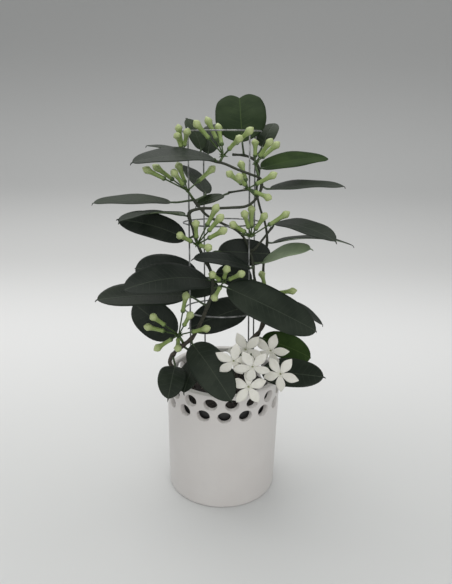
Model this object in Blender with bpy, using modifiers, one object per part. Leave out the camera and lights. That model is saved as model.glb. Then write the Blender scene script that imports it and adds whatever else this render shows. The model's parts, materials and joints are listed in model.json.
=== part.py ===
"""Potted Madagascar jasmine: a flowering climber on a wire frame in a pierced ceramic cover pot.

Lengths below are in millimetres and are turned into metres when a mesh is made.
The origin is the middle of the cover pot's foot. +Z is up and -Y is the front.
"""

import math

import bmesh
import bpy
from mathutils import Matrix, Vector
from mathutils.bvhtree import BVHTree

MM = 0.001
OBJECT_NAME = "potted_madagascar_jasmine"
GAP = 0.3
SHARP_ANGLE = 40.0

# Cover pot, a slightly flared cylinder with two staggered rows of holes below its rim.
POT_FOOT_RADIUS = 66.0
POT_RIM_RADIUS = 68.2
POT_HEIGHT = 152.0
POT_WALL = 7.0
POT_FLOOR = 8.0
POT_EDGE = 2.0
POT_SIDES = 40
RIM_CHAMFER = 1.4
HOLES_PER_ROW = 17
HOLE_WIDTH = 16.0
HOLE_HEIGHT = 13.6
HOLE_SIDES = 8
UPPER_ROW_HEIGHT = 139.6
LOWER_ROW_HEIGHT = 124.0
UPPER_ROW_START = -82.0
LOWER_ROW_START = -89.3

# Nursery pot and the soil in it.
NURSERY_FOOT_RADIUS = 44.0
NURSERY_RIM_RADIUS = 56.0
NURSERY_HEIGHT = 116.0
NURSERY_WALL = 1.5
NURSERY_LIP = 2.5
NURSERY_LIP_HEIGHT = 8.0
TURNED_SIDES = 24
SOIL_TOP = 119.0
SOIL_CROWN = 4.0
CROWN_SHOULDER = (0.55, 0.6)
ROOT_DEPTH = 45.0
HOLE_PLAY = 0.6
HOLE_EXTRA_DEPTH = 2.0
HOLE_EXTRA_HEIGHT = 8.0

# Wire frame: four legs welded to three hoops, leaning back a little.
WIRE_RADIUS = 0.9
HOOP_RADIUS = 44.6
HOOP_HEIGHTS = (76.0, 178.0, 280.0)
LEG_ANGLES = (214.0, 312.0, 30.0, 119.0)
LEG_FOOT = -44.0
LEG_TOP = 284.0
HOOP_POINTS = 24
HOOP_SIDES = 5
FRAME_LEAN_BACK = 7.8
FRAME_LEAN_LEFT = 1.1
FRAME_SHIFT = -1.5

# Leaves: an oval blade, folded up a little along its midrib, on a short flat stalk.
BLADE_THICKNESS = 0.9
BLADE_CELLS = 6
STALK_CELLS = 2
ACROSS_CELLS = 4
BLADE_FOLD = 0.12
WIDEST_SHIFT = 0.92
BLADE_SQUARENESS = 2.3
BLADE_ROUNDNESS = 0.55
STALK_HALF_WIDTH = 1.2
STALK_PULL = 0.4
TIP_HALF_WIDTH = 0.7
HOOK_LENGTH = 4.0
HOOK_DROP = 1.1

# The crown's front leaf has a broad heart-shaped tip with a notch.
NOTCHED_LEAF = "leaf_crown_front"
HEART_WIDEST = 0.6
HEART_SPREAD = 0.62
HEART_LENGTH = 0.9
HEART_BEND = 6
LOBE_HEIGHT = 0.11
NOTCH_START = 0.12

# Buds: a swollen head on a slim tube, a calyx and a stalk.
BUD_LENGTH = 27.0
BUD_SHARE = 0.72
BUD_HEAD_RADIUS = 4.3
BUD_TUBE_RADIUS = 2.1
BUD_SHOULDER = (0.72, 0.06)
BUD_WIDEST = 0.2
BUD_NECK = (1.15, 0.42)
CALYX_RADIUS = 2.7
CALYX_LENGTH = 2.6
CALYX_RIM = 1.0
CALYX_FOOT = 1.5
STALK_RADIUS = 0.8
PEDUNCLE_RADIUS = 1.2
BUD_SIDES = 5
HUB_RADIUS = 2.2

# Open flowers: a star of five pointed lobes on a waxy tube.
FLOWER_RADIUS = 21.0
FLOWER_THROAT = 4.0
LOBE_POWER = 1.1
LOBE_DROOP = 2.5
LOBES = 5
POINTS_PER_LOBE = 4
PETAL_THICKNESS = 1.0
FLOWER_TUBE = 17.0
TUBE_SIDES = 6
TUBE_MOUTH_RADIUS = 3.0
TUBE_NECK_RADIUS = 2.0
TUBE_BASE_RADIUS = 2.6
NECK_DEPTH = 4.0
BASE_HEIGHT = 2.0
STALK_BEND = 6.0

# Colours as linear red, green, blue, then roughness and metallic.
CERAMIC = ((0.62, 0.60, 0.58), 0.35, 0.0)
BLACK_PLASTIC = ((0.02, 0.02, 0.02), 0.5, 0.0)
EARTH = ((0.045, 0.03, 0.02), 0.95, 0.0)
STEEL_WIRE = ((0.16, 0.17, 0.17), 0.4, 1.0)
GREEN_STEM = ((0.05, 0.08, 0.03), 0.6, 0.0)
BARK = ((0.12, 0.10, 0.07), 0.8, 0.0)
DARK_LEAF = ((0.016, 0.032, 0.022), 0.35, 0.0)
YOUNG_LEAF = ((0.03, 0.065, 0.022), 0.4, 0.0)
PALE_LEAF = ((0.10, 0.17, 0.08), 0.5, 0.0)
BUD_GREEN = ((0.36, 0.45, 0.18), 0.5, 0.0)
PETAL_WHITE = ((0.75, 0.73, 0.66), 0.5, 0.0)

# Steps between two points of a stem's route, and how fast a stem thins out above its foot.
ROUTE_STEPS = 2
TAPER_POWER = 2.5

# Vines: root radius, end radius, colour and the route, from below the soil to the growing end.
VINES = {
    "vine_left": (2.7, 1.4, BARK, [
        (-34, -14, SOIL_TOP - ROOT_DEPTH), (-34, -14, 124), (-42, -17, 142), (-55, -21, 158),
        (-63, -29, 174), (-57, -36, 190), (-47, -39, 201), (-37, -39, 210), (-28, -36, 226),
        (-20, -32, 246), (-14, -27, 264), (-17, -23, 284), (-26, -23, 302), (-32, -24, 316),
        (-37, -23, 333), (-41, -22, 349), (-29, -25, 355), (-14, -27, 356), (3, -27, 357),
        (20, -23, 358), (31, -13, 364), (37, -5, 375), (35, -6, 385), (25, -11, 390),
        (10, -9, 395), (-4, -4, 400), (-20, 6, 402), (-33, 18, 403), (-36, 32, 402), (-31, 46, 398),
    ]),
    "vine_centre": (2.3, 1.4, GREEN_STEM, [
        (14, 0, SOIL_TOP - ROOT_DEPTH), (14, 0, 124), (16, 0, 150), (22, -2, 176), (34, -6, 197),
        (45, -6, 211), (48, -2, 228), (40, 0, 249), (33, -6, 271), (31, -9, 285), (28, -3, 299),
        (20, -2, 317), (10, -8, 328), (-3, -12, 335), (-21, -12, 344), (-31, -7, 353), (-37, -6, 361),
    ]),
    "vine_back": (2.1, 1.3, GREEN_STEM, [
        (22, 28, SOIL_TOP - ROOT_DEPTH), (22, 28, 124), (25, 30, 152), (42, 34, 181), (49, 40, 211),
        (47, 44, 245), (47, 46, 274), (50, 46, 298), (47, 42, 321), (39, 36, 344), (34, 28, 366),
        (36, 26, 387), (31, 28, 399), (20, 31, 404), (6, 38, 404),
    ]),
}

# Short side shoots: radius, the vine each springs from, and the route of its own points.
SHOOTS = {
    "shoot_upper": (1.2, "vine_left", [(33, -3, 369), (24, 7, 370), (2, 20, 364)]),
    "shoot_right": (1.3, "vine_centre", [(32, -5, 305), (42, -4, 318), (51, 1, 329)]),
}

# Leaves: colour, foot of the blade, heading, rise, length, width, roll and arch.
# A heading of 0 points to +X and 90 to the back. A roll lifts the blade's left edge.
LEAVES = {
    "leaf_crown_front": (YOUNG_LEAF, (16, 26, 420), 92, 34, 82, 58, -6, 0.05),
    "leaf_crown_left": (DARK_LEAF, (-30, 32, 410), 130, 52, 40, 24, 0, 0.07),
    "leaf_crown_back": (DARK_LEAF, (-22, 42, 404), 78, 42, 44, 27, 0, 0.10),
    "leaf_crown_right": (DARK_LEAF, (40, 50, 412), 62, 36, 40, 24, 0, 0.06),
    "leaf_left_top": (DARK_LEAF, (-15, -4, 405), 202, 0, 90, 38, -13, 0.06),
    "leaf_left_top_back": (DARK_LEAF, (-28, 55, 397), 154, 7, 76, 33, 3, 0.02),
    "leaf_right_top": (YOUNG_LEAF, (38, 20, 392), 26, 5, 88, 39, 13, 0.04),
    "leaf_right_upper": (DARK_LEAF, (48, 10, 371), 6, 2, 84, 37, 3, 0.03),
    "leaf_right_middle": (DARK_LEAF, (56, 5, 334), -46, -3, 82, 36, 6, 0.06),
    "leaf_right_far": (DARK_LEAF, (56, 45, 299), -3, 0, 96, 37, -10, 0.08),
    "leaf_right_pale": (PALE_LEAF, (41, -8, 291), -36, 24, 65, 29, 22, 0.07),
    "leaf_centre_dark": (DARK_LEAF, (-9, 2, 300), 6, -4, 61, 31, 70, 0.08),
    "leaf_centre_pair": (DARK_LEAF, (27, -20, 288), 200, 14, 68, 29, -14, 0.06),
    "leaf_centre_behind": (DARK_LEAF, (32, 20, 260), 201, 16, 48, 29, -60, 0.10),
    "leaf_centre_low": (DARK_LEAF, (27, 14, 229), 197, -16, 74, 39, -49, 0.07),
    "leaf_right_big": (DARK_LEAF, (1, -40, 271), -1, -26, 112, 49, 38, 0.02),
    "leaf_right_behind": (DARK_LEAF, (44, 26, 236), -12, -20, 80, 37, -3, 0.07),
    "leaf_right_green": (YOUNG_LEAF, (46, 10, 189), 15, -27, 73, 33, 59, 0.08),
    "leaf_right_rim": (DARK_LEAF, (45, -18, 160), -22, 5, 74, 37, 38, 0.01),
    "leaf_left_upper": (DARK_LEAF, (-62, -4, 357), 191, 1, 83, 36, -4, 0.03),
    "leaf_left_grey": (DARK_LEAF, (-48, -14, 345), 222, 4, 82, 38, 9, 0.07),
    "leaf_left_dark": (DARK_LEAF, (-45, -18, 320), 179, 15, 76, 32, -44, 0.09),
    "leaf_left_big": (DARK_LEAF, (-19, -31, 276), 215, 5, 104, 45, -25, 0.09),
    "leaf_left_behind": (DARK_LEAF, (-32, 6, 268), 158, -1, 82, 39, -60, 0.12),
    "leaf_left_low": (DARK_LEAF, (-46, -20, 254), 204, 5, 100, 43, -18, 0.03),
    "leaf_left_inner": (DARK_LEAF, (-8, 2, 258), 172, -12, 50, 22, -65, 0.05),
    "leaf_left_umbel": (DARK_LEAF, (-56, -28, 208), 147, 23, 66, 42, -59, 0.04),
    "leaf_front_hanging": (DARK_LEAF, (-36, -47, 206), -48, -34, 78, 40, 31, 0.10),
    "leaf_rim_left": (DARK_LEAF, (-56, -47, 178), 263, -24, 45, 31, -8, 0.14),
    "leaf_rim_left_grey": (DARK_LEAF, (-31, -38, 184), 250, -30, 46, 26, 10, 0.05),
    "leaf_small_twisted": (DARK_LEAF, (-4, 20, 361), 214, -12, 36, 17, -13, 0.03),
    "leaf_small_back": (DARK_LEAF, (-24, 5, 366), 113, 18, 66, 30, 19, 0.02),
}

# Bud umbels: the hub and where each bud's tip lies from it.
UMBELS = {
    "buds_lower_left": ((-52, -38, 213), [
        (-29, -29, 36), (9, -14, 57), (15, -26, 38), (35, -28, 21), (-37, -22, 20), (-27, -20, -10),
        (0, -34, -4)]),
    "buds_middle_left": ((-32, -35, 318), [
        (-21, -20, 17), (-2, -12, 30), (22, -6, 46), (27, -20, 38), (31, -24, 24), (14, -32, 5)]),
    "buds_middle_front": ((-3, -33, 275), [
        (-15, -27, 19), (3, -26, 26), (22, -20, 18), (-12, -22, -14)]),
    "buds_upper_left": ((-43, -14, 372), [
        (-47, -12, 26), (-38, 8, 26), (-16, -22, 26), (-11, 12, 29), (30, 18, 24)]),
    "buds_top_left": ((-49, 16, 409), [(-8, -12, 22), (5, -14, 27), (-6, -1, 30)]),
    "buds_top_front": ((-5, 2, 408), [
        (-32, -18, 38), (-19, 8, 40), (-6, 22, 32), (18, -26, 24), (30, -20, 32)]),
    "buds_top_right": ((30, 8, 399), [(16, -16, 29), (27, 6, 23), (0, 6, 26)]),
    "buds_upper_right": ((22, -12, 375), [
        (-24, -4, 19), (-13, -24, 19), (-8, 16, 28), (30, -10, 19), (24, -20, -7)]),
    "buds_middle_right": ((27, -18, 324), [
        (-11, -20, 33), (0, 4, 34), (15, -8, 28), (41, -2, 28), (-25, -22, 20)]),
    "buds_behind_right": ((50, 16, 244), [(34, -12, 9), (-8, 4, 28)]),
}

# Flowers: the middle of each star, the heading and rise that it faces, and its turn.
FLOWER_HUB = (35, -45, 178)
FLOWERS = [
    ((23, -49, 201), 267, -2, 46),
    ((51, -49, 200), 249, -6, 4),
    ((9, -85, 204), 271, -10, 11),
    ((29, -88, 199), 271, -12, 49),
    ((26, -82, 172), 281, 20, 13),
    ((61, -70, 182), 247, 8, 60),
]


def remove_everything():
    """Start from an empty file."""
    for old in list(bpy.data.objects):
        bpy.data.objects.remove(old, do_unlink=True)


def new_collection(name):
    """Make a collection under the scene's own."""
    made = bpy.data.collections.new(name)
    bpy.context.scene.collection.children.link(made)
    return made


def finish_material(name, finish):
    """A plain Principled material with one colour, roughness and metallic value."""
    material = bpy.data.materials.new(name)
    material.use_nodes = True
    shader = material.node_tree.nodes["Principled BSDF"]
    colour, roughness, metallic = finish
    shader.inputs["Base Color"].default_value = (*colour, 1.0)
    shader.inputs["Roughness"].default_value = roughness
    shader.inputs["Metallic"].default_value = metallic
    return material


def new_object(name, mesh, collection, finish=None):
    """Put a mesh in a collection as an object, with its own material."""
    made = bpy.data.objects.new(name, mesh)
    collection.objects.link(made)
    if finish:
        mesh.materials.clear()
        mesh.materials.append(finish_material(name + "_finish", finish))
    return made


def mesh_from(work, name):
    """Turn a bmesh into a mesh and free it."""
    mesh = bpy.data.meshes.new(name)
    work.to_mesh(mesh)
    work.free()
    return mesh


def evaluated_mesh(source):
    """The mesh of an object as the viewport shows it, in world space."""
    graph = bpy.context.evaluated_depsgraph_get()
    mesh = bpy.data.meshes.new_from_object(source.evaluated_get(graph))
    mesh.transform(source.matrix_world)
    return mesh


def turned_mesh(profile, sides, name):
    """Turn a profile of (radius, height) pairs, outer side first and top to bottom, about Z."""
    outline = bpy.data.meshes.new(name)
    work = bmesh.new()
    corners = [work.verts.new((radius * MM, 0.0, height * MM)) for radius, height in profile]
    for first, second in zip(corners, corners[1:]):
        work.edges.new((first, second))
    work.to_mesh(outline)
    work.free()
    turning = bpy.data.objects.new(name, outline)
    bpy.context.scene.collection.objects.link(turning)
    screw = turning.modifiers.new("turn", "SCREW")
    screw.steps = sides
    screw.render_steps = sides
    screw.use_merge_vertices = True
    screw.merge_threshold = 0.00001
    mesh = evaluated_mesh(turning)
    bpy.data.objects.remove(turning, do_unlink=True)
    bpy.data.meshes.remove(outline)
    return mesh


def tube_mesh(route, name, resolution=1):
    """A round tube along (point, radius) pairs, with closed ends."""
    curve = bpy.data.curves.new(name, "CURVE")
    curve.dimensions = "3D"
    curve.bevel_depth = MM
    curve.bevel_resolution = resolution
    curve.use_fill_caps = True
    spline = curve.splines.new("POLY")
    spline.points.add(len(route) - 1)
    for place, (point, radius) in zip(spline.points, route):
        place.co = (*(Vector(point) * MM), 1.0)
        place.radius = radius
    drawn = bpy.data.objects.new(name, curve)
    bpy.context.scene.collection.objects.link(drawn)
    mesh = evaluated_mesh(drawn)
    bpy.data.objects.remove(drawn, do_unlink=True)
    bpy.data.curves.remove(curve)
    work = bmesh.new()
    work.from_mesh(mesh)
    bmesh.ops.remove_doubles(work, verts=work.verts, dist=0.000001)
    work.to_mesh(mesh)
    work.free()
    return mesh


def join_by_union(base, pieces, solver="EXACT"):
    """Fuse the meshes in pieces into the base object, in one Boolean on their collection."""
    loose = new_collection(base.name + "_pieces")
    for index, mesh in enumerate(pieces):
        new_object(f"{base.name}_piece_{index}", mesh, loose)
    union = base.modifiers.new("fuse", "BOOLEAN")
    union.operation = "UNION"
    union.operand_type = "COLLECTION"
    union.collection = loose
    union.solver = solver
    fused = evaluated_mesh(base)
    base.modifiers.clear()
    materials = list(base.data.materials)
    base.data = fused
    base.data.materials.clear()
    for material in materials:
        base.data.materials.append(material)
    for piece in list(loose.objects):
        bpy.data.objects.remove(piece, do_unlink=True)
    bpy.data.collections.remove(loose)


def smooth_route(points, per_span):
    """Points on a smooth curve through the given ones, per_span to each stretch."""
    ends = [Vector(points[0]) * 2 - Vector(points[1])]
    ends += [Vector(point) for point in points]
    ends.append(Vector(points[-1]) * 2 - Vector(points[-2]))
    route = []
    for index in range(1, len(ends) - 2):
        before, start, stop, after = ends[index - 1:index + 3]
        for step in range(per_span):
            t = step / per_span
            bend = 2 * before - 5 * start + 4 * stop - after
            twist = 3 * start - before - 3 * stop + after
            route.append(start + 0.5 * t * (stop - before + t * (bend + t * twist)))
    route.append(ends[-2])
    return route


def tapered(route, root_radius, end_radius):
    """Pair each point of a route with a radius that shrinks fast at first, then slowly."""
    last = len(route) - 1
    return [(point, end_radius + (root_radius - end_radius) * (1 - index / last) ** TAPER_POWER)
            for index, point in enumerate(route)]


def frame_point(radius, angle, height):
    """A point of the leaning wire frame, given round and along its own axis from the pot's rim."""
    turn = math.radians(angle)
    point = Vector((radius * math.cos(turn), radius * math.sin(turn), height))
    point.rotate(Matrix.Rotation(-math.radians(FRAME_LEAN_BACK), 3, "X"))
    point.rotate(Matrix.Rotation(-math.radians(FRAME_LEAN_LEFT), 3, "Y"))
    return point + Vector((FRAME_SHIFT, 0.0, POT_HEIGHT))


def leg_ends(angle):
    """The foot and the top of one leg of the wire frame."""
    return frame_point(HOOP_RADIUS, angle, LEG_FOOT), frame_point(HOOP_RADIUS, angle, LEG_TOP)


def make_pot(collection, cutters):
    """The cover pot, turned and then pierced through its wall."""
    rim_inside = POT_RIM_RADIUS - POT_WALL
    floor_inside = POT_FOOT_RADIUS - POT_WALL
    profile = [
        (0.0, POT_FLOOR),
        (floor_inside - POT_EDGE, POT_FLOOR),
        (floor_inside, POT_FLOOR + POT_EDGE),
        (rim_inside, POT_HEIGHT - POT_EDGE),
        (rim_inside + RIM_CHAMFER, POT_HEIGHT),
        (POT_RIM_RADIUS - RIM_CHAMFER, POT_HEIGHT),
        (POT_RIM_RADIUS, POT_HEIGHT - POT_EDGE),
        (POT_FOOT_RADIUS, POT_EDGE),
        (POT_FOOT_RADIUS - POT_EDGE, 0.0),
        (0.0, 0.0),
    ]
    pot = new_object("pot", turned_mesh(profile, POT_SIDES, "pot"), collection, CERAMIC)
    step = 360.0 / HOLES_PER_ROW
    rows = ((UPPER_ROW_HEIGHT, UPPER_ROW_START), (LOWER_ROW_HEIGHT, LOWER_ROW_START))
    for row, (height, start) in enumerate(rows):
        for index in range(HOLES_PER_ROW):
            work = bmesh.new()
            bmesh.ops.create_cone(
                work, cap_ends=True, segments=HOLE_SIDES, radius1=0.5, radius2=0.5, depth=POT_WALL * 4 * MM)
            turn = Matrix.Rotation(math.radians(start + step * index), 4, "Z")
            lie = Matrix.Rotation(math.pi / 2, 4, "Y")
            size = Matrix.Diagonal((HOLE_HEIGHT * MM, HOLE_WIDTH * MM, 1.0, 1.0))
            centre = turn @ Vector(((POT_RIM_RADIUS - POT_WALL / 2) * MM, 0.0, 0.0))
            centre.z = height * MM
            bmesh.ops.transform(work, matrix=turn @ lie @ size, verts=work.verts)
            bmesh.ops.translate(work, vec=centre, verts=work.verts)
            cutter = new_object(f"hole_{row}_{index}", mesh_from(work, "hole"), cutters)
            cutter.hide_render = True
            cutter.display_type = "WIRE"
    pierce = pot.modifiers.new("pierce", "BOOLEAN")
    pierce.operation = "DIFFERENCE"
    pierce.operand_type = "COLLECTION"
    pierce.collection = cutters
    return pot


def make_nursery_pot(collection):
    """The thin plastic pot that the plant was raised in, standing on the cover pot's floor."""
    foot = POT_FLOOR + GAP
    top = foot + NURSERY_HEIGHT
    lip = top - NURSERY_LIP_HEIGHT
    profile = [
        (0.0, foot + NURSERY_WALL),
        (NURSERY_FOOT_RADIUS - NURSERY_WALL, foot + NURSERY_WALL),
        (NURSERY_RIM_RADIUS - NURSERY_WALL, top),
        (NURSERY_RIM_RADIUS + NURSERY_LIP, top),
        (NURSERY_RIM_RADIUS + NURSERY_LIP, lip),
        (NURSERY_RIM_RADIUS, lip),
        (NURSERY_FOOT_RADIUS, foot),
        (0.0, foot),
    ]
    new_object("nursery_pot", turned_mesh(profile, TURNED_SIDES, "nursery_pot"), collection, BLACK_PLASTIC)


def make_soil(collection, cutters):
    """The root ball, with plain holes where the wire legs and the vines stand in it."""
    bottom = POT_FLOOR + NURSERY_WALL + 2 * GAP
    side_slope = (NURSERY_RIM_RADIUS - NURSERY_FOOT_RADIUS) / NURSERY_HEIGHT
    foot_radius = NURSERY_FOOT_RADIUS - NURSERY_WALL - 2 * GAP
    top_radius = foot_radius + side_slope * (SOIL_TOP - bottom)
    shoulder, shoulder_rise = CROWN_SHOULDER
    profile = [
        (0.0, SOIL_TOP + SOIL_CROWN),
        (top_radius * shoulder, SOIL_TOP + SOIL_CROWN * shoulder_rise),
        (top_radius, SOIL_TOP),
        (foot_radius, bottom),
        (0.0, bottom),
    ]
    soil = new_object("soil", turned_mesh(profile, TURNED_SIDES, "soil"), collection, EARTH)
    for index, angle in enumerate(LEG_ANGLES):
        foot, top = leg_ends(angle)
        below = foot - (top - foot).normalized() * HOLE_EXTRA_DEPTH
        route = [(below, WIRE_RADIUS + HOLE_PLAY), (top, WIRE_RADIUS + HOLE_PLAY)]
        cutter = new_object(f"leg_hole_{index}", tube_mesh(route, "leg_hole", 2), cutters)
        cutter.hide_render = True
        cutter.display_type = "WIRE"
    for name, (radius, _, _, points) in VINES.items():
        below = Vector(points[0]) - Vector((0.0, 0.0, HOLE_EXTRA_DEPTH))
        above = Vector(points[1]) + Vector((0.0, 0.0, HOLE_EXTRA_HEIGHT))
        route = [(below, radius + HOLE_PLAY), (above, radius + HOLE_PLAY)]
        cutter = new_object(name + "_hole", tube_mesh(route, "vine_hole", 2), cutters)
        cutter.hide_render = True
        cutter.display_type = "WIRE"
    holes = soil.modifiers.new("holes", "BOOLEAN")
    holes.operation = "DIFFERENCE"
    holes.operand_type = "COLLECTION"
    holes.collection = cutters


def make_wire_frame(collection):
    """Four straight legs and three hoops, welded into one frame."""
    pieces = []
    for angle in LEG_ANGLES[1:]:
        foot, top = leg_ends(angle)
        pieces.append(tube_mesh([(foot, WIRE_RADIUS), (top, WIRE_RADIUS)], "leg"))
    for height in HOOP_HEIGHTS:
        bpy.ops.mesh.primitive_torus_add(
            major_segments=HOOP_POINTS, minor_segments=HOOP_SIDES,
            major_radius=HOOP_RADIUS * MM, minor_radius=WIRE_RADIUS * MM)
        hoop = bpy.context.object
        centre = frame_point(0.0, 0.0, height) * MM
        lean = Matrix.Rotation(-math.radians(FRAME_LEAN_LEFT), 4, "Y")
        lean = lean @ Matrix.Rotation(-math.radians(FRAME_LEAN_BACK), 4, "X")
        hoop.data.transform(Matrix.Translation(centre) @ lean)
        pieces.append(hoop.data.copy())
        bpy.data.objects.remove(hoop, do_unlink=True)
    foot, top = leg_ends(LEG_ANGLES[0])
    first = tube_mesh([(foot, WIRE_RADIUS), (top, WIRE_RADIUS)], "leg")
    frame = new_object("wire_frame", first, collection, STEEL_WIRE)
    join_by_union(frame, pieces)


def surface_of(mesh):
    """A search tree over the faces of a stem."""
    corners = [corner.co for corner in mesh.vertices]
    return BVHTree.FromPolygons(corners, [face.vertices for face in mesh.polygons])


def nearest(point, stems):
    """The point nearest to the given one on the surface of any stem."""
    found = [surface.find_nearest(point * MM) for surface in stems.values()]
    return min(found, key=lambda each: each[3])[0] / MM


def seat_on_stem(point, stems):
    """Where a stalk to a point leaves the nearest stem, just clear of its bark."""
    seat = nearest(point, stems)
    return seat + (point - seat).normalized() * GAP


def make_stems(collection):
    """The vines and their side shoots. Returns a search tree over each one's surface."""
    stems = {}
    for name, (root_radius, end_radius, finish, points) in VINES.items():
        route = [Vector(points[0])] + smooth_route(points[1:], ROUTE_STEPS)
        stem = tube_mesh(tapered(route, root_radius, end_radius), name, 0)
        new_object(name, stem, collection, finish)
        stems[name] = surface_of(stem)
    for name, (radius, parent, points) in SHOOTS.items():
        first = Vector(points[0])
        start = seat_on_stem(first, {parent: stems[parent]})
        shoot = tube_mesh(tapered(smooth_route([start] + points, ROUTE_STEPS), radius, radius), name, 0)
        new_object(name, shoot, collection, GREEN_STEM)
        stems[name] = surface_of(shoot)
    return stems


def blade_axes(heading, rise, roll):
    """The directions along a blade, to its left side and out of its face."""
    turn, lift, tilt = (math.radians(value) for value in (heading, rise, roll))
    along = Vector((math.cos(lift) * math.cos(turn), math.cos(lift) * math.sin(turn), math.sin(lift)))
    upright = (Vector((0.0, 0.0, 1.0)) - along * along.z).normalized()
    level = upright.cross(along)
    side = level * math.cos(tilt) + upright * math.sin(tilt)
    face = upright * math.cos(tilt) - level * math.sin(tilt)
    return along, side, face


def half_width(u, width):
    """Half the width of an oval blade at u, from 0 at its foot to 1 at its tip."""
    fullness = max(0.0, 1.0 - abs(2.0 * u ** WIDEST_SHIFT - 1.0) ** BLADE_SQUARENESS)
    return width / 2 * fullness ** BLADE_ROUNDNESS


def heart_half_width(u, width):
    """Half the width of the heart-shaped blade, which stays broad up to its tip."""
    if u < 0.5:
        return half_width(u, width)
    return width / 2 * math.sqrt(1.0 - ((u - HEART_WIDEST) / HEART_SPREAD) ** 2)


def leaf_rows(foot, heading, rise, length, width, roll, arch, notched, start):
    """Rows of a leaf from its stalk to its tip: middle, side, face, half width, fold and lobes."""
    along, side, face = blade_axes(heading, rise, roll)
    foot = Vector(foot)
    away = (foot - start).normalized()
    reach = (foot - start).length
    entry = (along + face * 4 * arch).normalized()
    middles = []
    for step in range(STALK_CELLS):
        t = step / STALK_CELLS
        pull = start + away * reach * STALK_PULL
        push = foot - entry * reach * STALK_PULL
        a, b, c, d = (1 - t) ** 3, 3 * t * (1 - t) ** 2, 3 * t * t * (1 - t), t ** 3
        middles.append(start * a + pull * b + push * c + foot * d)
    rows = []
    carried = side
    path = middles + [foot]
    for index in range(STALK_CELLS - 1, -1, -1):
        tangent = (path[index + 1] - path[max(index - 1, 0)]).normalized()
        carried = (carried - tangent * carried.dot(tangent)).normalized()
        rows.insert(0, (path[index], carried, tangent.cross(carried), STALK_HALF_WIDTH, 0.0, 0.0))
    for step in range(BLADE_CELLS + 1):
        u = (1 - math.cos(math.pi * step / BLADE_CELLS)) / 2
        middle = foot + along * (u * length) + face * (4 * u * (1 - u) * arch * length)
        half = heart_half_width(u, width) if notched else half_width(u, width)
        least = STALK_HALF_WIDTH if u < 0.5 else TIP_HALF_WIDTH
        lobes = LOBE_HEIGHT * length * u ** HEART_BEND if notched else 0.0
        rows.append((middle, side, face, max(half, least), BLADE_FOLD, lobes))
    if not notched:
        tip = rows[-1][0]
        hook = tip + (along - face * HOOK_DROP).normalized() * HOOK_LENGTH
        rows.append((hook, side, face, TIP_HALF_WIDTH / 2, 0.0, 0.0))
    return rows, along


def make_leaf(name, values, collection, stems):
    """One leaf: its flat stalk, oval blade folded along the midrib, and small hooked tip."""
    finish, foot, heading, rise, length, width, roll, arch = values
    start = seat_on_stem(Vector(foot), stems)
    notched = name == NOTCHED_LEAF
    if notched:
        length *= HEART_LENGTH
    rows, along = leaf_rows(foot, heading, rise, length, width, roll, arch, notched, start)
    work = bmesh.new()
    bmesh.ops.create_grid(work, x_segments=len(rows) - 1, y_segments=ACROSS_CELLS, size=0.5)
    for corner in work.verts:
        row = round((corner.co.x + 0.5) * (len(rows) - 1))
        across = corner.co.y * 2
        middle, side, face, half, fold, lobes = rows[row]
        place = middle + side * (half * across) + face * (half * fold * abs(across))
        place += along * (lobes * math.sin(math.pi * (NOTCH_START + (1 - NOTCH_START) * abs(across))))
        corner.co = place * MM
    bmesh.ops.triangulate(work, faces=work.faces)
    leaf = new_object(name, mesh_from(work, name), collection, finish)
    skin = leaf.modifiers.new("thickness", "SOLIDIFY")
    skin.thickness = BLADE_THICKNESS * MM
    skin.offset = 0.0
    return leaf


def aimed(mesh, start, direction):
    """Move a mesh that was made along +Z so that it starts at a point and runs along a direction."""
    turn = direction.to_track_quat("Z", "Y").to_matrix().to_4x4()
    mesh.transform(Matrix.Translation(Vector(start) * MM) @ turn)
    return mesh


def bud_mesh(reach):
    """A bud on its stalk, turned about +Z: stalk, calyx, slim tube and swollen head."""
    body = min(BUD_LENGTH, reach * BUD_SHARE)
    foot = reach - body
    shoulder, shoulder_depth = BUD_SHOULDER
    neck, neck_depth = BUD_NECK
    profile = [
        (0.0, reach),
        (BUD_HEAD_RADIUS * shoulder, reach - body * shoulder_depth),
        (BUD_HEAD_RADIUS, reach - body * BUD_WIDEST),
        (BUD_TUBE_RADIUS * neck, reach - body * neck_depth),
        (BUD_TUBE_RADIUS, foot + CALYX_LENGTH),
        (CALYX_RADIUS, foot + CALYX_RIM),
        (STALK_RADIUS, foot - CALYX_FOOT),
        (STALK_RADIUS, 0.0),
        (0.0, 0.0),
    ]
    return turned_mesh(profile, BUD_SIDES, "bud")


def stalk_mesh(start, stop, radius):
    """A straight stalk between two points."""
    return tube_mesh([(start, radius), (stop, radius)], "stalk", 0)


def hub_mesh(centre):
    """The knob that the stalks of an umbel spring from."""
    work = bmesh.new()
    bmesh.ops.create_icosphere(work, subdivisions=1, radius=HUB_RADIUS * MM)
    bmesh.ops.translate(work, vec=Vector(centre) * MM, verts=work.verts)
    return mesh_from(work, "hub")


def make_umbel(name, hub, tips, collection, stems):
    """One umbel of buds with the stalk that joins it to a stem, fused into one body."""
    centre = Vector(hub)
    pieces = [stalk_mesh(seat_on_stem(centre, stems), centre, PEDUNCLE_RADIUS)]
    for tip in tips:
        reach = Vector(tip).length
        pieces.append(aimed(bud_mesh(reach), centre, Vector(tip)))
    umbel = new_object(name, hub_mesh(centre), collection, BUD_GREEN)
    join_by_union(umbel, pieces)


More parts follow.
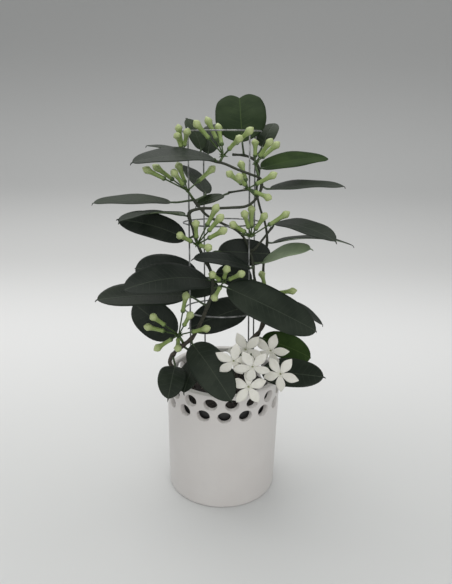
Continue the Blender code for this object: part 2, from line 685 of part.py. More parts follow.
def star_mesh():
    """The open flower's flat face: five pointed lobes, curved a little back, facing +Z."""
    work = bmesh.new()
    bmesh.ops.create_circle(
        work, cap_ends=True, cap_tris=True, segments=LOBES * POINTS_PER_LOBE, radius=1.0)
    for corner in work.verts:
        if corner.co.length < 0.5:
            continue
        turn = math.atan2(corner.co.y, corner.co.x)
        lobe = abs(math.cos(LOBES / 2 * turn))
        reach = FLOWER_THROAT + (FLOWER_RADIUS - FLOWER_THROAT) * lobe ** LOBE_POWER
        droop = -LOBE_DROOP * (reach / FLOWER_RADIUS) ** 2
        corner.co = Vector((math.cos(turn) * reach, math.sin(turn) * reach, droop)) * MM
    bmesh.ops.solidify(work, geom=work.faces[:], thickness=PETAL_THICKNESS * MM)
    bmesh.ops.recalc_face_normals(work, faces=work.faces)
    return mesh_from(work, "star")


def make_flower(name, middle, heading, rise, spin, collection):
    """One open flower: a five-lobed star on its tube. Returns the back end of the tube."""
    turn, lift = math.radians(heading), math.radians(rise)
    facing = Vector((math.cos(lift) * math.cos(turn), math.cos(lift) * math.sin(turn), math.sin(lift)))
    profile = [
        (0.0, PETAL_THICKNESS / 2),
        (TUBE_MOUTH_RADIUS, PETAL_THICKNESS / 2),
        (TUBE_NECK_RADIUS, -NECK_DEPTH),
        (TUBE_BASE_RADIUS, -FLOWER_TUBE + BASE_HEIGHT),
        (TUBE_NECK_RADIUS, -FLOWER_TUBE),
        (0.0, -FLOWER_TUBE),
    ]
    tube = aimed(turned_mesh(profile, TUBE_SIDES, "tube"), middle, facing)
    star = star_mesh()
    star.transform(Matrix.Rotation(math.radians(spin), 4, "Z"))
    flower = new_object(name, aimed(star, middle, facing), collection, PETAL_WHITE)
    join_by_union(flower, [tube], "MANIFOLD")
    return Vector(middle) - facing * FLOWER_TUBE, facing


def make_flower_umbel(collection, stems):
    """The open flowers and the branched stalk that carries them."""
    hub = Vector(FLOWER_HUB)
    pieces = [stalk_mesh(seat_on_stem(hub, stems), hub, PEDUNCLE_RADIUS)]
    for index, (middle, heading, rise, spin) in enumerate(FLOWERS):
        back, facing = make_flower(f"flower_{index + 1}", middle, heading, rise, spin, collection)
        end = back - facing * GAP
        bend = end - facing * STALK_BEND
        calyx = [(0.0, 0.0), (CALYX_RADIUS, 0.0), (STALK_RADIUS, -CALYX_LENGTH), (0.0, -CALYX_LENGTH)]
        pieces.append(aimed(turned_mesh(calyx, BUD_SIDES, "calyx"), end, facing))
        route = [(hub, STALK_RADIUS), (bend, STALK_RADIUS), (end - facing, STALK_RADIUS)]
        pieces.append(tube_mesh(route, "flower_stalk"))
    stalks = new_object("flower_stalks", hub_mesh(hub), collection, GREEN_STEM)
    join_by_union(stalks, pieces, "MANIFOLD")


def shade(collection):
    """Round pieces are shaded smooth, with their real corners kept sharp."""
    for made in collection.objects:
        made.data.shade_smooth()
        made.data.set_sharp_from_angle(angle=math.radians(SHARP_ANGLE))


def build():
    """Make every piece of the plant and its pot."""
    remove_everything()
    parts = new_collection(OBJECT_NAME)
    pot_cutters = new_collection("pot_cutters")
    soil_cutters = new_collection("soil_cutters")
    make_pot(parts, pot_cutters)
    make_nursery_pot(parts)
    make_soil(parts, soil_cutters)
    make_wire_frame(parts)
    stems = make_stems(parts)
    for name, values in LEAVES.items():
        make_leaf(name, values, parts, stems)
    for name, (hub, tips) in UMBELS.items():
        make_umbel(name, hub, tips, parts, stems)
    make_flower_umbel(parts, stems)
    shade(parts)


build()
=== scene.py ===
"""Potted Madagascar jasmine on its wire frame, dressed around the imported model.

Lengths are in millimetres unless a name or comment says otherwise. -Y is the front.
Each pattern of a finish is the scale of its noise, per metre, and the noise's detail. Each
span is where a change starts and where it ends.
"""

import json
import math
import random

import bmesh
import bpy
from mathutils import Matrix, Vector, noise
from mathutils.bvhtree import BVHTree

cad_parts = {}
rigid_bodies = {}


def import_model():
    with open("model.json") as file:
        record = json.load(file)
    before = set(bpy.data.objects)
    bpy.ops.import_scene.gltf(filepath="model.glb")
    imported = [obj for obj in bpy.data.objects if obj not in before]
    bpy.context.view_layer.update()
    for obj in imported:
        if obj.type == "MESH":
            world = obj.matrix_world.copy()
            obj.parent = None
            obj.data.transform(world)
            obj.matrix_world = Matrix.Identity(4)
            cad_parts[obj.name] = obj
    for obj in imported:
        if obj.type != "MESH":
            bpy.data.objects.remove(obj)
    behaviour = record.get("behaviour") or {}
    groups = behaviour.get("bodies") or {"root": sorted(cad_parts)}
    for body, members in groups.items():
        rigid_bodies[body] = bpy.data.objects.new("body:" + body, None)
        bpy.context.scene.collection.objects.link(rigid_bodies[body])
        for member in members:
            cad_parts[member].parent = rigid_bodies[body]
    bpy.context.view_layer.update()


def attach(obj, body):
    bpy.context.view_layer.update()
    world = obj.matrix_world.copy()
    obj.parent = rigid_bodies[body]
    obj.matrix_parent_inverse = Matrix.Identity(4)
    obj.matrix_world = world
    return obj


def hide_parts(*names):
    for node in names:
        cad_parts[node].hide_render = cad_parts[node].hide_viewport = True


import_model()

# Camera: it stands before the plant, a little above its crown, and looks down on it.
# The focal length is in pixels of a frame that is 584 pixels high, and the clips are in metres.
MM = 0.001
CAMERA_PLACE = Vector((-12.5, -710.0, 508.5))
CAMERA_TURN = math.radians(1.08)
CAMERA_PITCH = math.radians(19.9)
CAMERA_ROLL = math.radians(1.2)
FOCAL_PIXELS = 650.0
FRAME_PIXELS_HIGH = 584.0
SENSOR = 36.0
NEAREST_SEEN = 0.02
FARTHEST_SEEN = 40.0

camera = bpy.data.objects.new("camera", bpy.data.cameras.new("camera"))
bpy.context.scene.collection.objects.link(camera)
camera.data.sensor_width = SENSOR
camera.data.lens = FOCAL_PIXELS * SENSOR / FRAME_PIXELS_HIGH
camera.data.clip_start = NEAREST_SEEN
camera.data.clip_end = FARTHEST_SEEN
look = Vector((math.sin(CAMERA_TURN), math.cos(CAMERA_TURN), 0.0)) * math.cos(CAMERA_PITCH)
look.z = -math.sin(CAMERA_PITCH)
level = Vector((math.cos(CAMERA_TURN), -math.sin(CAMERA_TURN), 0.0))
upright = level.cross(look)
to_right = level * math.cos(CAMERA_ROLL) + upright * math.sin(CAMERA_ROLL)
to_top = upright * math.cos(CAMERA_ROLL) - level * math.sin(CAMERA_ROLL)
turned_camera = Matrix((to_right, to_top, -look)).transposed().to_4x4()
camera.matrix_world = Matrix.Translation(CAMERA_PLACE * MM) @ turned_camera
bpy.context.scene.camera = camera

# Floor and light: a pale seamless sheet of paper that rises far behind the plant, under a wide
# soft light from above and a weaker one from the front. Places and sizes here are in metres.
FLOOR_HALF = 4.0
FLOOR_ROWS = 64
SWEEP_START = 1.9
SWEEP_RADIUS = 1.2
FLOOR_NEAR = (0.66, 0.665, 0.665, 1.0)
# The near colour is the paper's own. The colours after it paint a pool of light, that light's falloff
# farther back and shade up the sweep.
FLOOR_PAINTED_LIGHT = (0.81, 0.81, 0.815, 1.0)
FLOOR_PAINTED_FALLOFF = (0.655, 0.655, 0.655, 1.0)
SWEEP_PAINTED_SHADE = (0.50, 0.50, 0.50, 1.0)
PAINTED_LIGHT_SPAN = (-0.15, 0.45)
PAINTED_FALLOFF_SPAN = (0.45, 1.0)
SWEEP_SHADE_SPAN = (-0.1, 0.6)
PAPER_GRAIN = (40.0, 2.0)
PAPER_ROUGH = 0.78
PAPER_ROUGHER = 0.1
SKY_COLOUR = (0.98, 1.0, 0.99, 1.0)
SKY_STRENGTH = 0.52
LIGHTS = {
    "light_above": ((-0.30, 0.50, 1.6), 1.8, 16.0, (1.0, 0.99, 0.97)),
    "light_front": ((0.3, -1.7, 1.0), 2.0, 11.5, (1.0, 0.99, 0.97)),
}


class Socket:
    """One output of a finish's nodes. A sum made with it adds Math nodes to the same finish."""

    def __init__(self, finish, output):
        self.finish = finish
        self.output = output

    def math(self, operation, *others):
        return self.finish.add(
            "ShaderNodeMath", {"operation": operation}, dict(enumerate((self, *others))))

    def reflected(self, operation, other):
        return self.finish.add("ShaderNodeMath", {"operation": operation}, {0: other, 1: self})

    def __add__(self, other):
        return self.math("ADD", other)

    def __mul__(self, other):
        return self.math("MULTIPLY", other)

    def __sub__(self, other):
        return self.math("SUBTRACT", other)

    def __truediv__(self, other):
        return self.math("DIVIDE", other)

    def __rsub__(self, other):
        return self.reflected("SUBTRACT", other)

    def __abs__(self):
        return self.math("ABSOLUTE")

    __radd__ = __add__
    __rmul__ = __mul__


class Finish:
    """A Principled material. Constants are set on its shader, and what varies is fed to it."""

    def __init__(self, name, **constants):
        self.material = bpy.data.materials.new(name)
        self.material.use_nodes = True
        self.nodes = self.material.node_tree.nodes
        self.shader = self.nodes["Principled BSDF"]
        for socket, value in constants.items():
            self.shader.inputs[socket.replace("_", " ")].default_value = value

    def add(self, kind, settings, inputs, output=0):
        node = self.nodes.new(kind)
        for setting, value in settings.items():
            setattr(node, setting, value)
        for socket, value in inputs.items():
            if isinstance(value, Socket):
                self.material.node_tree.links.new(value.output, node.inputs[socket])
            else:
                node.inputs[socket].default_value = value
        return Socket(self, node.outputs[output])

    def feed(self, socket, value):
        self.material.node_tree.links.new(value.output, self.shader.inputs[socket])

    def place(self):
        return self.add("ShaderNodeTexCoord", {}, {}, "Object")

    def noise(self, pattern):
        scale, detail = pattern
        return self.add("ShaderNodeTexNoise", {}, {
            "Vector": self.place(), "Scale": scale, "Detail": detail})

    def mix(self, share, first, second):
        return self.add("ShaderNodeMix", {"data_type": "RGBA"}, {0: share, 6: first, 7: second}, 2)

    def rise(self, value, span):
        return self.add("ShaderNodeMapRange", {"interpolation_type": "SMOOTHSTEP"}, {
            "Value": value, "From Min": span[0], "From Max": span[1]})

    def mark(self, name):
        return self.add("ShaderNodeAttribute", {"attribute_name": name}, {}, "Fac")

    def bump(self, height, depth):
        relief = self.add("ShaderNodeBump", {}, {"Height": height, "Distance": depth * MM})
        self.feed("Normal", relief)


def shown(name, mesh, *materials):
    """A mesh as a smooth object in the scene, with its materials."""
    piece = bpy.data.objects.new(name, mesh)
    bpy.context.scene.collection.objects.link(piece)
    for material in materials:
        mesh.materials.append(material)
    mesh.shade_smooth()
    return piece


def mesh_of(work, name):
    """Ends a bmesh and gives its mesh."""
    mesh = bpy.data.meshes.new(name)
    work.to_mesh(mesh)
    work.free()
    return mesh


work = bmesh.new()
bmesh.ops.create_grid(work, x_segments=2, y_segments=FLOOR_ROWS, size=FLOOR_HALF)
for corner in work.verts:
    past = corner.co.y - SWEEP_START
    if past > 0.0:
        turn = min(past / SWEEP_RADIUS, math.pi / 2)
        climb = max(0.0, past - SWEEP_RADIUS * math.pi / 2)
        corner.co.y = SWEEP_START + SWEEP_RADIUS * math.sin(turn)
        corner.co.z = SWEEP_RADIUS * (1 - math.cos(turn)) + climb
paper = Finish("floor_paper")
spot = paper.add("ShaderNodeSeparateXYZ", {}, {0: paper.place()}, "Y")
height = paper.add("ShaderNodeSeparateXYZ", {}, {0: paper.place()}, "Z")
# The paper's colour carries a painted pool of light on the floor behind the pot, painted falloff of
# that light farther back and painted shade up the sweep.
sheet = paper.mix(paper.rise(spot, PAINTED_LIGHT_SPAN), FLOOR_NEAR, FLOOR_PAINTED_LIGHT)
sheet = paper.mix(paper.rise(spot, PAINTED_FALLOFF_SPAN), sheet, FLOOR_PAINTED_FALLOFF)
sheet = paper.mix(paper.rise(height, SWEEP_SHADE_SPAN), sheet, SWEEP_PAINTED_SHADE)
paper.feed("Base Color", sheet)
paper.feed("Roughness", PAPER_ROUGH + paper.noise(PAPER_GRAIN) * PAPER_ROUGHER)
shown("floor", mesh_of(work, "floor"), paper.material)

for name, (place, size, power, colour) in LIGHTS.items():
    lamp = bpy.data.lights.new(name, "AREA")
    lamp.size = size
    lamp.energy = power
    lamp.color = colour
    light = bpy.data.objects.new(name, lamp)
    light.location = place
    light.rotation_mode = "QUATERNION"
    light.rotation_quaternion = Vector(place).to_track_quat("Z", "Y")
    bpy.context.scene.collection.objects.link(light)
sky = bpy.data.worlds.new("sky")
sky.use_nodes = True
sky.node_tree.nodes["Background"].inputs["Color"].default_value = SKY_COLOUR
sky.node_tree.nodes["Background"].inputs["Strength"].default_value = SKY_STRENGTH
bpy.context.scene.world = sky
bpy.context.scene.view_settings.view_transform = "Standard"

# Cover pot: thick white ceramic with a satin glaze, almost a cylinder. Two staggered rows of
# oval holes were cut through the wall below the rim, and the glaze softened their edges.
POT_FOOT_RADIUS = 66.0
POT_RIM_RADIUS = 68.2
POT_HEIGHT = 152.0
POT_WALL = 7.0
POT_FLOOR = 8.0
RIM_ROUND = 2.4
FOOT_ROUND = 2.6
INSIDE_ROUND = 4.0
FOOT_RING_WIDTH = 8.0
FOOT_RING_SLOPE = 1.5
FOOT_RECESS = 1.2
POT_SIDES = 144
POT_CREASE = math.radians(50)
HOLES_PER_ROW = 17
HOLE_HALF_WIDTH = 8.0
HOLE_HALF_HEIGHT = 6.9
HOLE_SIDES = 28
HOLE_EDGE = 1.0
WALL_NEARNESS = 0.1
HOLE_ROWS = ((139.6, -82.0), (124.0, -89.3))
# How far outside the wall's inner face each ring of a plug lies.
HOLE_STATIONS = (-1.5, 0.0, 0.2, 0.5, 1.0, 6.0, 6.5, 6.8, 7.0, 8.5)
GLAZE = (0.66, 0.635, 0.62, 1.0)
GLAZE_WARM = (0.62, 0.59, 0.575, 1.0)
GLAZE_COAT = 0.25
CLOUDS = (14.0, 3.0)
CLOUD_SPAN = (0.3, 0.8)
SPECKS = (900.0, 2.0)
SPECK_SPAN = (0.66, 0.74)
GLAZE_ROUGH = 0.34
CLOUD_ROUGH = 0.12
SPECK_ROUGH = 0.1
GLAZE_WAVES = (60.0, 2.0)
GLAZE_PORES = (700.0, 1.0)
PORE_SHARE = 0.06
GLAZE_RELIEF = 0.25


def added(work, before):
    """The corners that a bmesh has now and didn't have before."""
    return [corner for corner in work.verts if corner not in before]


def turned(work, profile, sides, place=Matrix.Identity(4)):
    """Spins a profile of (radius, height) about Z, sets it at its place and gives its corners."""
    before = set(work.verts)
    corners = [work.verts.new((radius * MM, 0.0, height * MM)) for radius, height in profile]
    edges = [work.edges.new(pair) for pair in zip(corners, corners[1:])]
    bmesh.ops.spin(work, geom=corners + edges, axis=(0, 0, 1), angle=math.tau, steps=sides,
                   use_merge=True)
    bmesh.ops.remove_doubles(work, verts=added(work, before), dist=MM / 1000)
    made = added(work, before)
    bmesh.ops.transform(work, matrix=place, verts=made)
    return made


def faced_out(work):
    """Turns the faces of each closed shell outwards, which its signed volume tells."""
    bmesh.ops.recalc_face_normals(work, faces=work.faces)
    left = set(work.faces)
    while left:
        shell = [left.pop()]
        for face in shell:
            beside = {other for edge in face.edges for other in edge.link_faces} & left
            shell.extend(beside)
            left -= beside
        if sum(face.calc_center_median().dot(face.normal) * face.calc_area() for face in shell) < 0.0:
            bmesh.ops.reverse_faces(work, faces=shell)
    return work


def arc(centre, radius, start, stop, steps):
    """Points of a rounded corner, between two angles in degrees."""
    turns = [math.radians(start + (stop - start) * step / steps) for step in range(steps + 1)]
    return [(centre[0] + radius * math.cos(turn), centre[1] + radius * math.sin(turn))
            for turn in turns]


def settled(piece, slot, *nodes):
    """Hangs a finished piece on the root body and hides the parts of the model that it stands for. The
    slot is not used.
    """
    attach(piece, "root")
    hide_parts(*nodes)


def cut_by(piece, cutters):
    """Cuts a piece by the objects of a collection, which are then removed."""
    cut = piece.modifiers.new("cut", "BOOLEAN")
    cut.operation = "DIFFERENCE"
    cut.operand_type = "COLLECTION"
    cut.collection = cutters
    cut.solver = "MANIFOLD"
    graph = bpy.context.evaluated_depsgraph_get()
    mesh = bpy.data.meshes.new_from_object(piece.evaluated_get(graph))
    piece.modifiers.clear()
    piece.data = mesh
    for cutter in list(cutters.objects):
        bpy.data.objects.remove(cutter, do_unlink=True)
    bpy.data.collections.remove(cutters)


def hole_cutter(height, angle):
    """A plug across the wall that widens at both faces, so that the hole gets rounded edges."""
    outside = POT_FOOT_RADIUS + (POT_RIM_RADIUS - POT_FOOT_RADIUS) * height / POT_HEIGHT
    plug = bmesh.new()
    bmesh.ops.create_cone(
        plug, cap_ends=True, segments=HOLE_SIDES, radius1=1.0, radius2=1.0, depth=1.0)
    sides = [edge for edge in plug.edges if abs(edge.verts[0].co.z - edge.verts[1].co.z) > 0.5]
    last = len(HOLE_STATIONS) - 1
    bmesh.ops.subdivide_edges(plug, edges=sides, cuts=last - 1)
    for corner in plug.verts:
        depth = HOLE_STATIONS[round((corner.co.z + 0.5) * last)]
        inward = HOLE_EDGE - max(0.0, min(depth, POT_WALL - depth, HOLE_EDGE))
        widen = HOLE_EDGE - math.sqrt(max(0.0, HOLE_EDGE ** 2 - inward ** 2))
        away = outside - POT_WALL + depth
        swing = math.radians(angle) + corner.co.x * (HOLE_HALF_WIDTH + widen) / outside
        corner.co = Vector((
            away * math.cos(swing), away * math.sin(swing),
            height + corner.co.y * (HOLE_HALF_HEIGHT + widen))) * MM
    return mesh_of(faced_out(plug), "plug")


inner_foot = POT_FOOT_RADIUS - POT_WALL
inner_rim = POT_RIM_RADIUS - POT_WALL
profile = [(0.0, POT_FLOOR)]
profile += arc((inner_foot - INSIDE_ROUND, POT_FLOOR + INSIDE_ROUND), INSIDE_ROUND, -90, 0, 4)
profile += arc((inner_rim + RIM_ROUND, POT_HEIGHT - RIM_ROUND), RIM_ROUND, 180, 90, 5)
profile += arc((POT_RIM_RADIUS - RIM_ROUND, POT_HEIGHT - RIM_ROUND), RIM_ROUND, 90, 0, 5)
profile += arc((POT_FOOT_RADIUS - FOOT_ROUND, FOOT_ROUND), FOOT_ROUND, 0, -90, 5)
ring_inside = POT_FOOT_RADIUS - FOOT_RING_WIDTH
profile += [(ring_inside, 0.0), (ring_inside - FOOT_RING_SLOPE, FOOT_RECESS), (0.0, FOOT_RECESS)]
work = bmesh.new()
turned(work, profile, POT_SIDES)
pot = shown("cover_pot", mesh_of(faced_out(work), "cover_pot"))
plugs = bpy.data.collections.new("hole_plugs")
bpy.context.scene.collection.children.link(plugs)
for height, start in HOLE_ROWS:
    for index in range(HOLES_PER_ROW):
        plug = bpy.data.objects.new("plug", hole_cutter(height, start + 360.0 * index / HOLES_PER_ROW))
        plugs.objects.link(plug)
cut_by(pot, plugs)
pot.data.shade_smooth()
pot.data.set_sharp_from_angle(angle=POT_CREASE)

# The cut leaves long thin faces round the holes. The glaze runs smoothly over them, so every
# corner of the wall points straight away from its axis.
flare = (POT_RIM_RADIUS - POT_FOOT_RADIUS) / POT_HEIGHT
normals = [Vector(each.vector) for each in pot.data.corner_normals]
for face in pot.data.polygons:
    places = [pot.data.vertices[corner].co / MM for corner in face.vertices]
    for side, foot in ((1.0, POT_FOOT_RADIUS), (-1.0, inner_foot)):
        if all(abs(place.xy.length - foot - flare * place.z) < WALL_NEARNESS for place in places):
            for loop, place in zip(face.loop_indices, places):
                normals[loop] = side * Vector((place.x, place.y, -flare * place.xy.length)).normalized()
pot.data.normals_split_custom_set(normals)
glaze = Finish("satin_glaze", Coat_Weight=GLAZE_COAT, Coat_Roughness=0.25)
cloud = glaze.noise(CLOUDS)
speck = glaze.rise(glaze.noise(SPECKS), SPECK_SPAN)
glaze.feed("Base Color", glaze.mix(glaze.rise(cloud, CLOUD_SPAN), GLAZE, GLAZE_WARM))
glaze.feed("Roughness", GLAZE_ROUGH + cloud * CLOUD_ROUGH + speck * SPECK_ROUGH)
glaze.bump(glaze.noise(GLAZE_WAVES) + glaze.noise(GLAZE_PORES) * PORE_SHARE, GLAZE_RELIEF)
pot.data.materials.clear()
pot.data.materials.append(glaze.material)
settled(pot, "white_ceramic", "pot")

# Nursery pot: thin black moulded plastic with a rolled lip and shallow ribs, standing loose in
# the cover pot. Little of it shows, through the holes and past the rim.
NURSERY_FOOT_RADIUS = 44.0
NURSERY_RIM_RADIUS = 56.0
NURSERY_BOTTOM = 8.3
NURSERY_TOP = 124.3
NURSERY_LIP = 2.5
NURSERY_WALL = 1.5
LIP_HEIGHT = 8.0
LIP_ROUND = 1.0
LIP_DRAFT = 0.3
EDGE_DROP = 0.6
HEEL_WIDTH = 2.0
HEEL_HEIGHT = 14.0
INNER_HEEL = 1.0
NURSERY_RIBS = 24
SIDES_PER_RIB = 4
RIB_DEPTH = 0.35
NURSERY_CREASE = math.radians(40)
DUST = (45.0, 4.0)
DUST_SPAN = (0.45, 0.75)
PLASTIC_ROUGH = 0.42
DUST_ROUGH = 0.3
PLASTIC_GRAIN = (1500.0, 1.0)
PLASTIC_RELIEF = 0.05
PLASTIC_BLACK = (0.020, 0.020, 0.021, 1.0)
PLASTIC_DUSTY = (0.055, 0.052, 0.047, 1.0)

lip_bottom = NURSERY_TOP - LIP_HEIGHT
lip_radius = NURSERY_RIM_RADIUS + NURSERY_LIP
inner_floor = NURSERY_BOTTOM + NURSERY_WALL
profile = [(0.0, inner_floor), (NURSERY_FOOT_RADIUS - NURSERY_WALL - INNER_HEEL, inner_floor)]
profile += [(NURSERY_RIM_RADIUS - NURSERY_WALL, NURSERY_TOP - EDGE_DROP)]
profile += arc((lip_radius - LIP_ROUND, NURSERY_TOP - LIP_ROUND), LIP_ROUND, 110, 0, 3)
profile += [(lip_radius - LIP_DRAFT, lip_bottom), (NURSERY_RIM_RADIUS, lip_bottom)]
profile += [(NURSERY_FOOT_RADIUS + HEEL_WIDTH, NURSERY_BOTTOM + HEEL_HEIGHT)]
profile += [(NURSERY_FOOT_RADIUS, NURSERY_BOTTOM), (0.0, NURSERY_BOTTOM)]
work = bmesh.new()
turned(work, profile, NURSERY_RIBS * SIDES_PER_RIB)
for corner in work.verts:
    swing = math.atan2(corner.co.y, corner.co.x)
    if lip_bottom * MM - MM > corner.co.z > NURSERY_BOTTOM * MM + MM:
        groove = max(0.0, math.cos(NURSERY_RIBS * swing))
        corner.co.xy *= 1.0 - RIB_DEPTH / NURSERY_RIM_RADIUS * groove
moulded = Finish("moulded_plastic")
dust = moulded.rise(moulded.noise(DUST), DUST_SPAN)
moulded.feed("Base Color", moulded.mix(dust, PLASTIC_BLACK, PLASTIC_DUSTY))
moulded.feed("Roughness", PLASTIC_ROUGH + dust * DUST_ROUGH)
moulded.bump(moulded.noise(PLASTIC_GRAIN), PLASTIC_RELIEF)
nursery_pot = shown("grower_pot", mesh_of(faced_out(work), "grower_pot"), moulded.material)
nursery_pot.data.set_sharp_from_angle(angle=NURSERY_CREASE)
settled(nursery_pot, "black_plastic", "nursery_pot")

# Soil: a dark peaty mix with crumbs of bark and a few pale grains. It fills the nursery pot to
# just below its lip, domed a little, and was pressed round the stems by hand.
SOIL_TOP = 119.0
SOIL_CROWN = 4.0
SOIL_BOTTOM = 10.1
SOIL_FOOT_RADIUS = 41.9
SOIL_RIM_RADIUS = 53.1
SOIL_RINGS = 14
SOIL_SIDES = 64
LUMPS_PER_METRE = 160.0
LUMP_HEIGHT = 1.6
CRUMBS = 240
CRUMB_MARGIN = 3.0
CRUMB_SIZES = (0.8, 2.6)
CRUMB_WIDTHS = (0.5, 1.0)
CRUMB_HEIGHTS = (0.3, 0.7)
CRUMB_CREASE = math.radians(30)
EARTH_LUMPS = (260.0, 5.0)
EARTH_SPAN = (0.4, 0.7)
GRAINS = (420.0, 0.0)
GRAIN_SPAN = (0.78, 0.82)
EARTH_RELIEF = 1.2
EARTH_DARK = (0.009, 0.007, 0.006, 1.0)
EARTH_BROWN = (0.024, 0.017, 0.013, 1.0)
GRAIN_PALE = (0.12, 0.11, 0.09, 1.0)
chance = random.Random(7)


def soil_height(away):
    """The height of the soil's domed top at a distance from the pot's middle."""
    share = min(1.0, away / SOIL_RIM_RADIUS)
    return SOIL_TOP + SOIL_CROWN * (1.0 - share * share)


rings = [SOIL_RIM_RADIUS * step / SOIL_RINGS for step in range(SOIL_RINGS + 1)]
profile = [(away, soil_height(away)) for away in rings]
profile += [(SOIL_FOOT_RADIUS, SOIL_BOTTOM), (0.0, SOIL_BOTTOM)]
work = bmesh.new()
turned(work, profile, SOIL_SIDES)
for corner in work.verts:
    if corner.co.z > SOIL_TOP * MM - MM and corner.co.xy.length < (SOIL_RIM_RADIUS - 1.0) * MM:
        corner.co.z += noise.noise(corner.co * LUMPS_PER_METRE) * LUMP_HEIGHT * MM
for _ in range(CRUMBS):
    swing = chance.uniform(0.0, math.tau)
    away = (SOIL_RIM_RADIUS - CRUMB_MARGIN) * math.sqrt(chance.random())
    size = chance.uniform(*CRUMB_SIZES)
    seat = Vector((away * math.cos(swing), away * math.sin(swing), soil_height(away)))
    turn = Matrix.Rotation(chance.uniform(0, math.pi), 4, (chance.random(), chance.random(), 1.0))
    wide = size * chance.uniform(*CRUMB_WIDTHS)
    high = size * chance.uniform(*CRUMB_HEIGHTS)
    squat = Matrix.Diagonal((size, wide, high, 1.0))
    crumb = Matrix.Translation(seat * MM) @ turn @ squat
    bmesh.ops.create_icosphere(work, subdivisions=1, radius=MM, matrix=crumb)
earth = Finish("peaty_soil", Roughness=0.95)
lumps = earth.noise(EARTH_LUMPS)
grains = earth.rise(earth.noise(GRAINS), GRAIN_SPAN)
brown = earth.mix(earth.rise(lumps, EARTH_SPAN), EARTH_DARK, EARTH_BROWN)
earth.feed("Base Color", earth.mix(grains, brown, GRAIN_PALE))
earth.bump(lumps, EARTH_RELIEF)
soil = shown("potting_mix", mesh_of(faced_out(work), "potting_mix"), earth.material)
soil.data.set_sharp_from_angle(angle=CRUMB_CREASE)
settled(soil, "soil", "soil")

# Wire frame: four straight legs of galvanised steel wire pushed into the soil and spot-welded
# inside three hoops. The whole frame leans back and a little to the left.
WIRE_RADIUS = 0.9
HOOP_RADIUS = 44.6
HOOP_HEIGHTS = (76.0, 178.0, 280.0)
LEG_ANGLES = (214.0, 312.0, 30.0, 119.0)
LEG_FOOT = -44.0
LEG_TOP = 284.0
FRAME_LEAN_BACK = 7.8
FRAME_LEAN_LEFT = 1.1
FRAME_SHIFT = -1.5
WELD_RADIUS = 1.45
HOOP_SIDES = 96
WIRE_SIDES = 10
BLOOM = (180.0, 4.0)
BLOOM_SPAN = (0.35, 0.7)
STEEL_ROUGH = 0.36
BLOOM_ROUGH = 0.24
STEEL_GRAIN = (900.0, 2.0)
STEEL_RELIEF = 0.05
STEEL = (0.30, 0.305, 0.305, 1.0)
STEEL_DULL = (0.13, 0.133, 0.133, 1.0)

leaning = Matrix.Translation(Vector((FRAME_SHIFT, 0.0, POT_HEIGHT)) * MM)
leaning = leaning @ Matrix.Rotation(-math.radians(FRAME_LEAN_LEFT), 4, "Y")
leaning = leaning @ Matrix.Rotation(-math.radians(FRAME_LEAN_BACK), 4, "X")


def drawn_tube(route, sides_of_quarter=2):
    """A round tube along (point, radius) pairs, with closed ends, as a mesh."""
    curve = bpy.data.curves.new("tube", "CURVE")
    curve.dimensions = "3D"
    curve.bevel_depth = MM
    curve.bevel_resolution = sides_of_quarter
    curve.use_fill_caps = True
    spline = curve.splines.new("POLY")
    spline.points.add(len(route) - 1)
    for knot, (point, radius) in zip(spline.points, route):
        knot.co = (*(Vector(point) * MM), 1.0)
        knot.radius = radius
    drawn = bpy.data.objects.new("tube", curve)
    bpy.context.scene.collection.objects.link(drawn)
    graph = bpy.context.evaluated_depsgraph_get()
    mesh = bpy.data.meshes.new_from_object(drawn.evaluated_get(graph))
    bpy.data.objects.remove(drawn, do_unlink=True)
    bpy.data.curves.remove(curve)
    closing = bmesh.new()
    closing.from_mesh(mesh)
    bmesh.ops.remove_doubles(closing, verts=closing.verts, dist=MM / 1000)
    closing.to_mesh(mesh)
    closing.free()
    return mesh


work = bmesh.new()
for angle in LEG_ANGLES:
    turn = math.radians(angle)
    foot = Vector((HOOP_RADIUS * math.cos(turn), HOOP_RADIUS * math.sin(turn), LEG_FOOT))
    top = foot + Vector((0.0, 0.0, LEG_TOP - LEG_FOOT))
    leg = drawn_tube([(foot, WIRE_RADIUS), (top, WIRE_RADIUS)], 4)
    work.from_mesh(leg)
    bpy.data.meshes.remove(leg)
    for height in HOOP_HEIGHTS:
        weld = Matrix.Translation(Vector((foot.x, foot.y, height)) * MM)
        bmesh.ops.create_icosphere(work, subdivisions=2, radius=WELD_RADIUS * MM, matrix=weld)
for height in HOOP_HEIGHTS:
    hoop = [(HOOP_RADIUS + WIRE_RADIUS * math.cos(turn), height + WIRE_RADIUS * math.sin(turn))
            for turn in (math.tau * step / WIRE_SIDES for step in range(WIRE_SIDES + 1))]
    turned(work, hoop, HOOP_SIDES)
bmesh.ops.transform(work, matrix=leaning, verts=work.verts)
galvanised = Finish("galvanised_wire", Metallic=0.75)
bloom = galvanised.rise(galvanised.noise(BLOOM), BLOOM_SPAN)
galvanised.feed("Base Color", galvanised.mix(bloom, STEEL, STEEL_DULL))
galvanised.feed("Roughness", STEEL_ROUGH + bloom * BLOOM_ROUGH)
galvanised.bump(galvanised.noise(STEEL_GRAIN), STEEL_RELIEF)
wires = shown("steel_wires", mesh_of(faced_out(work), "steel_wires"), galvanised.material)
settled(wires, "steel_wire", "wire_frame")

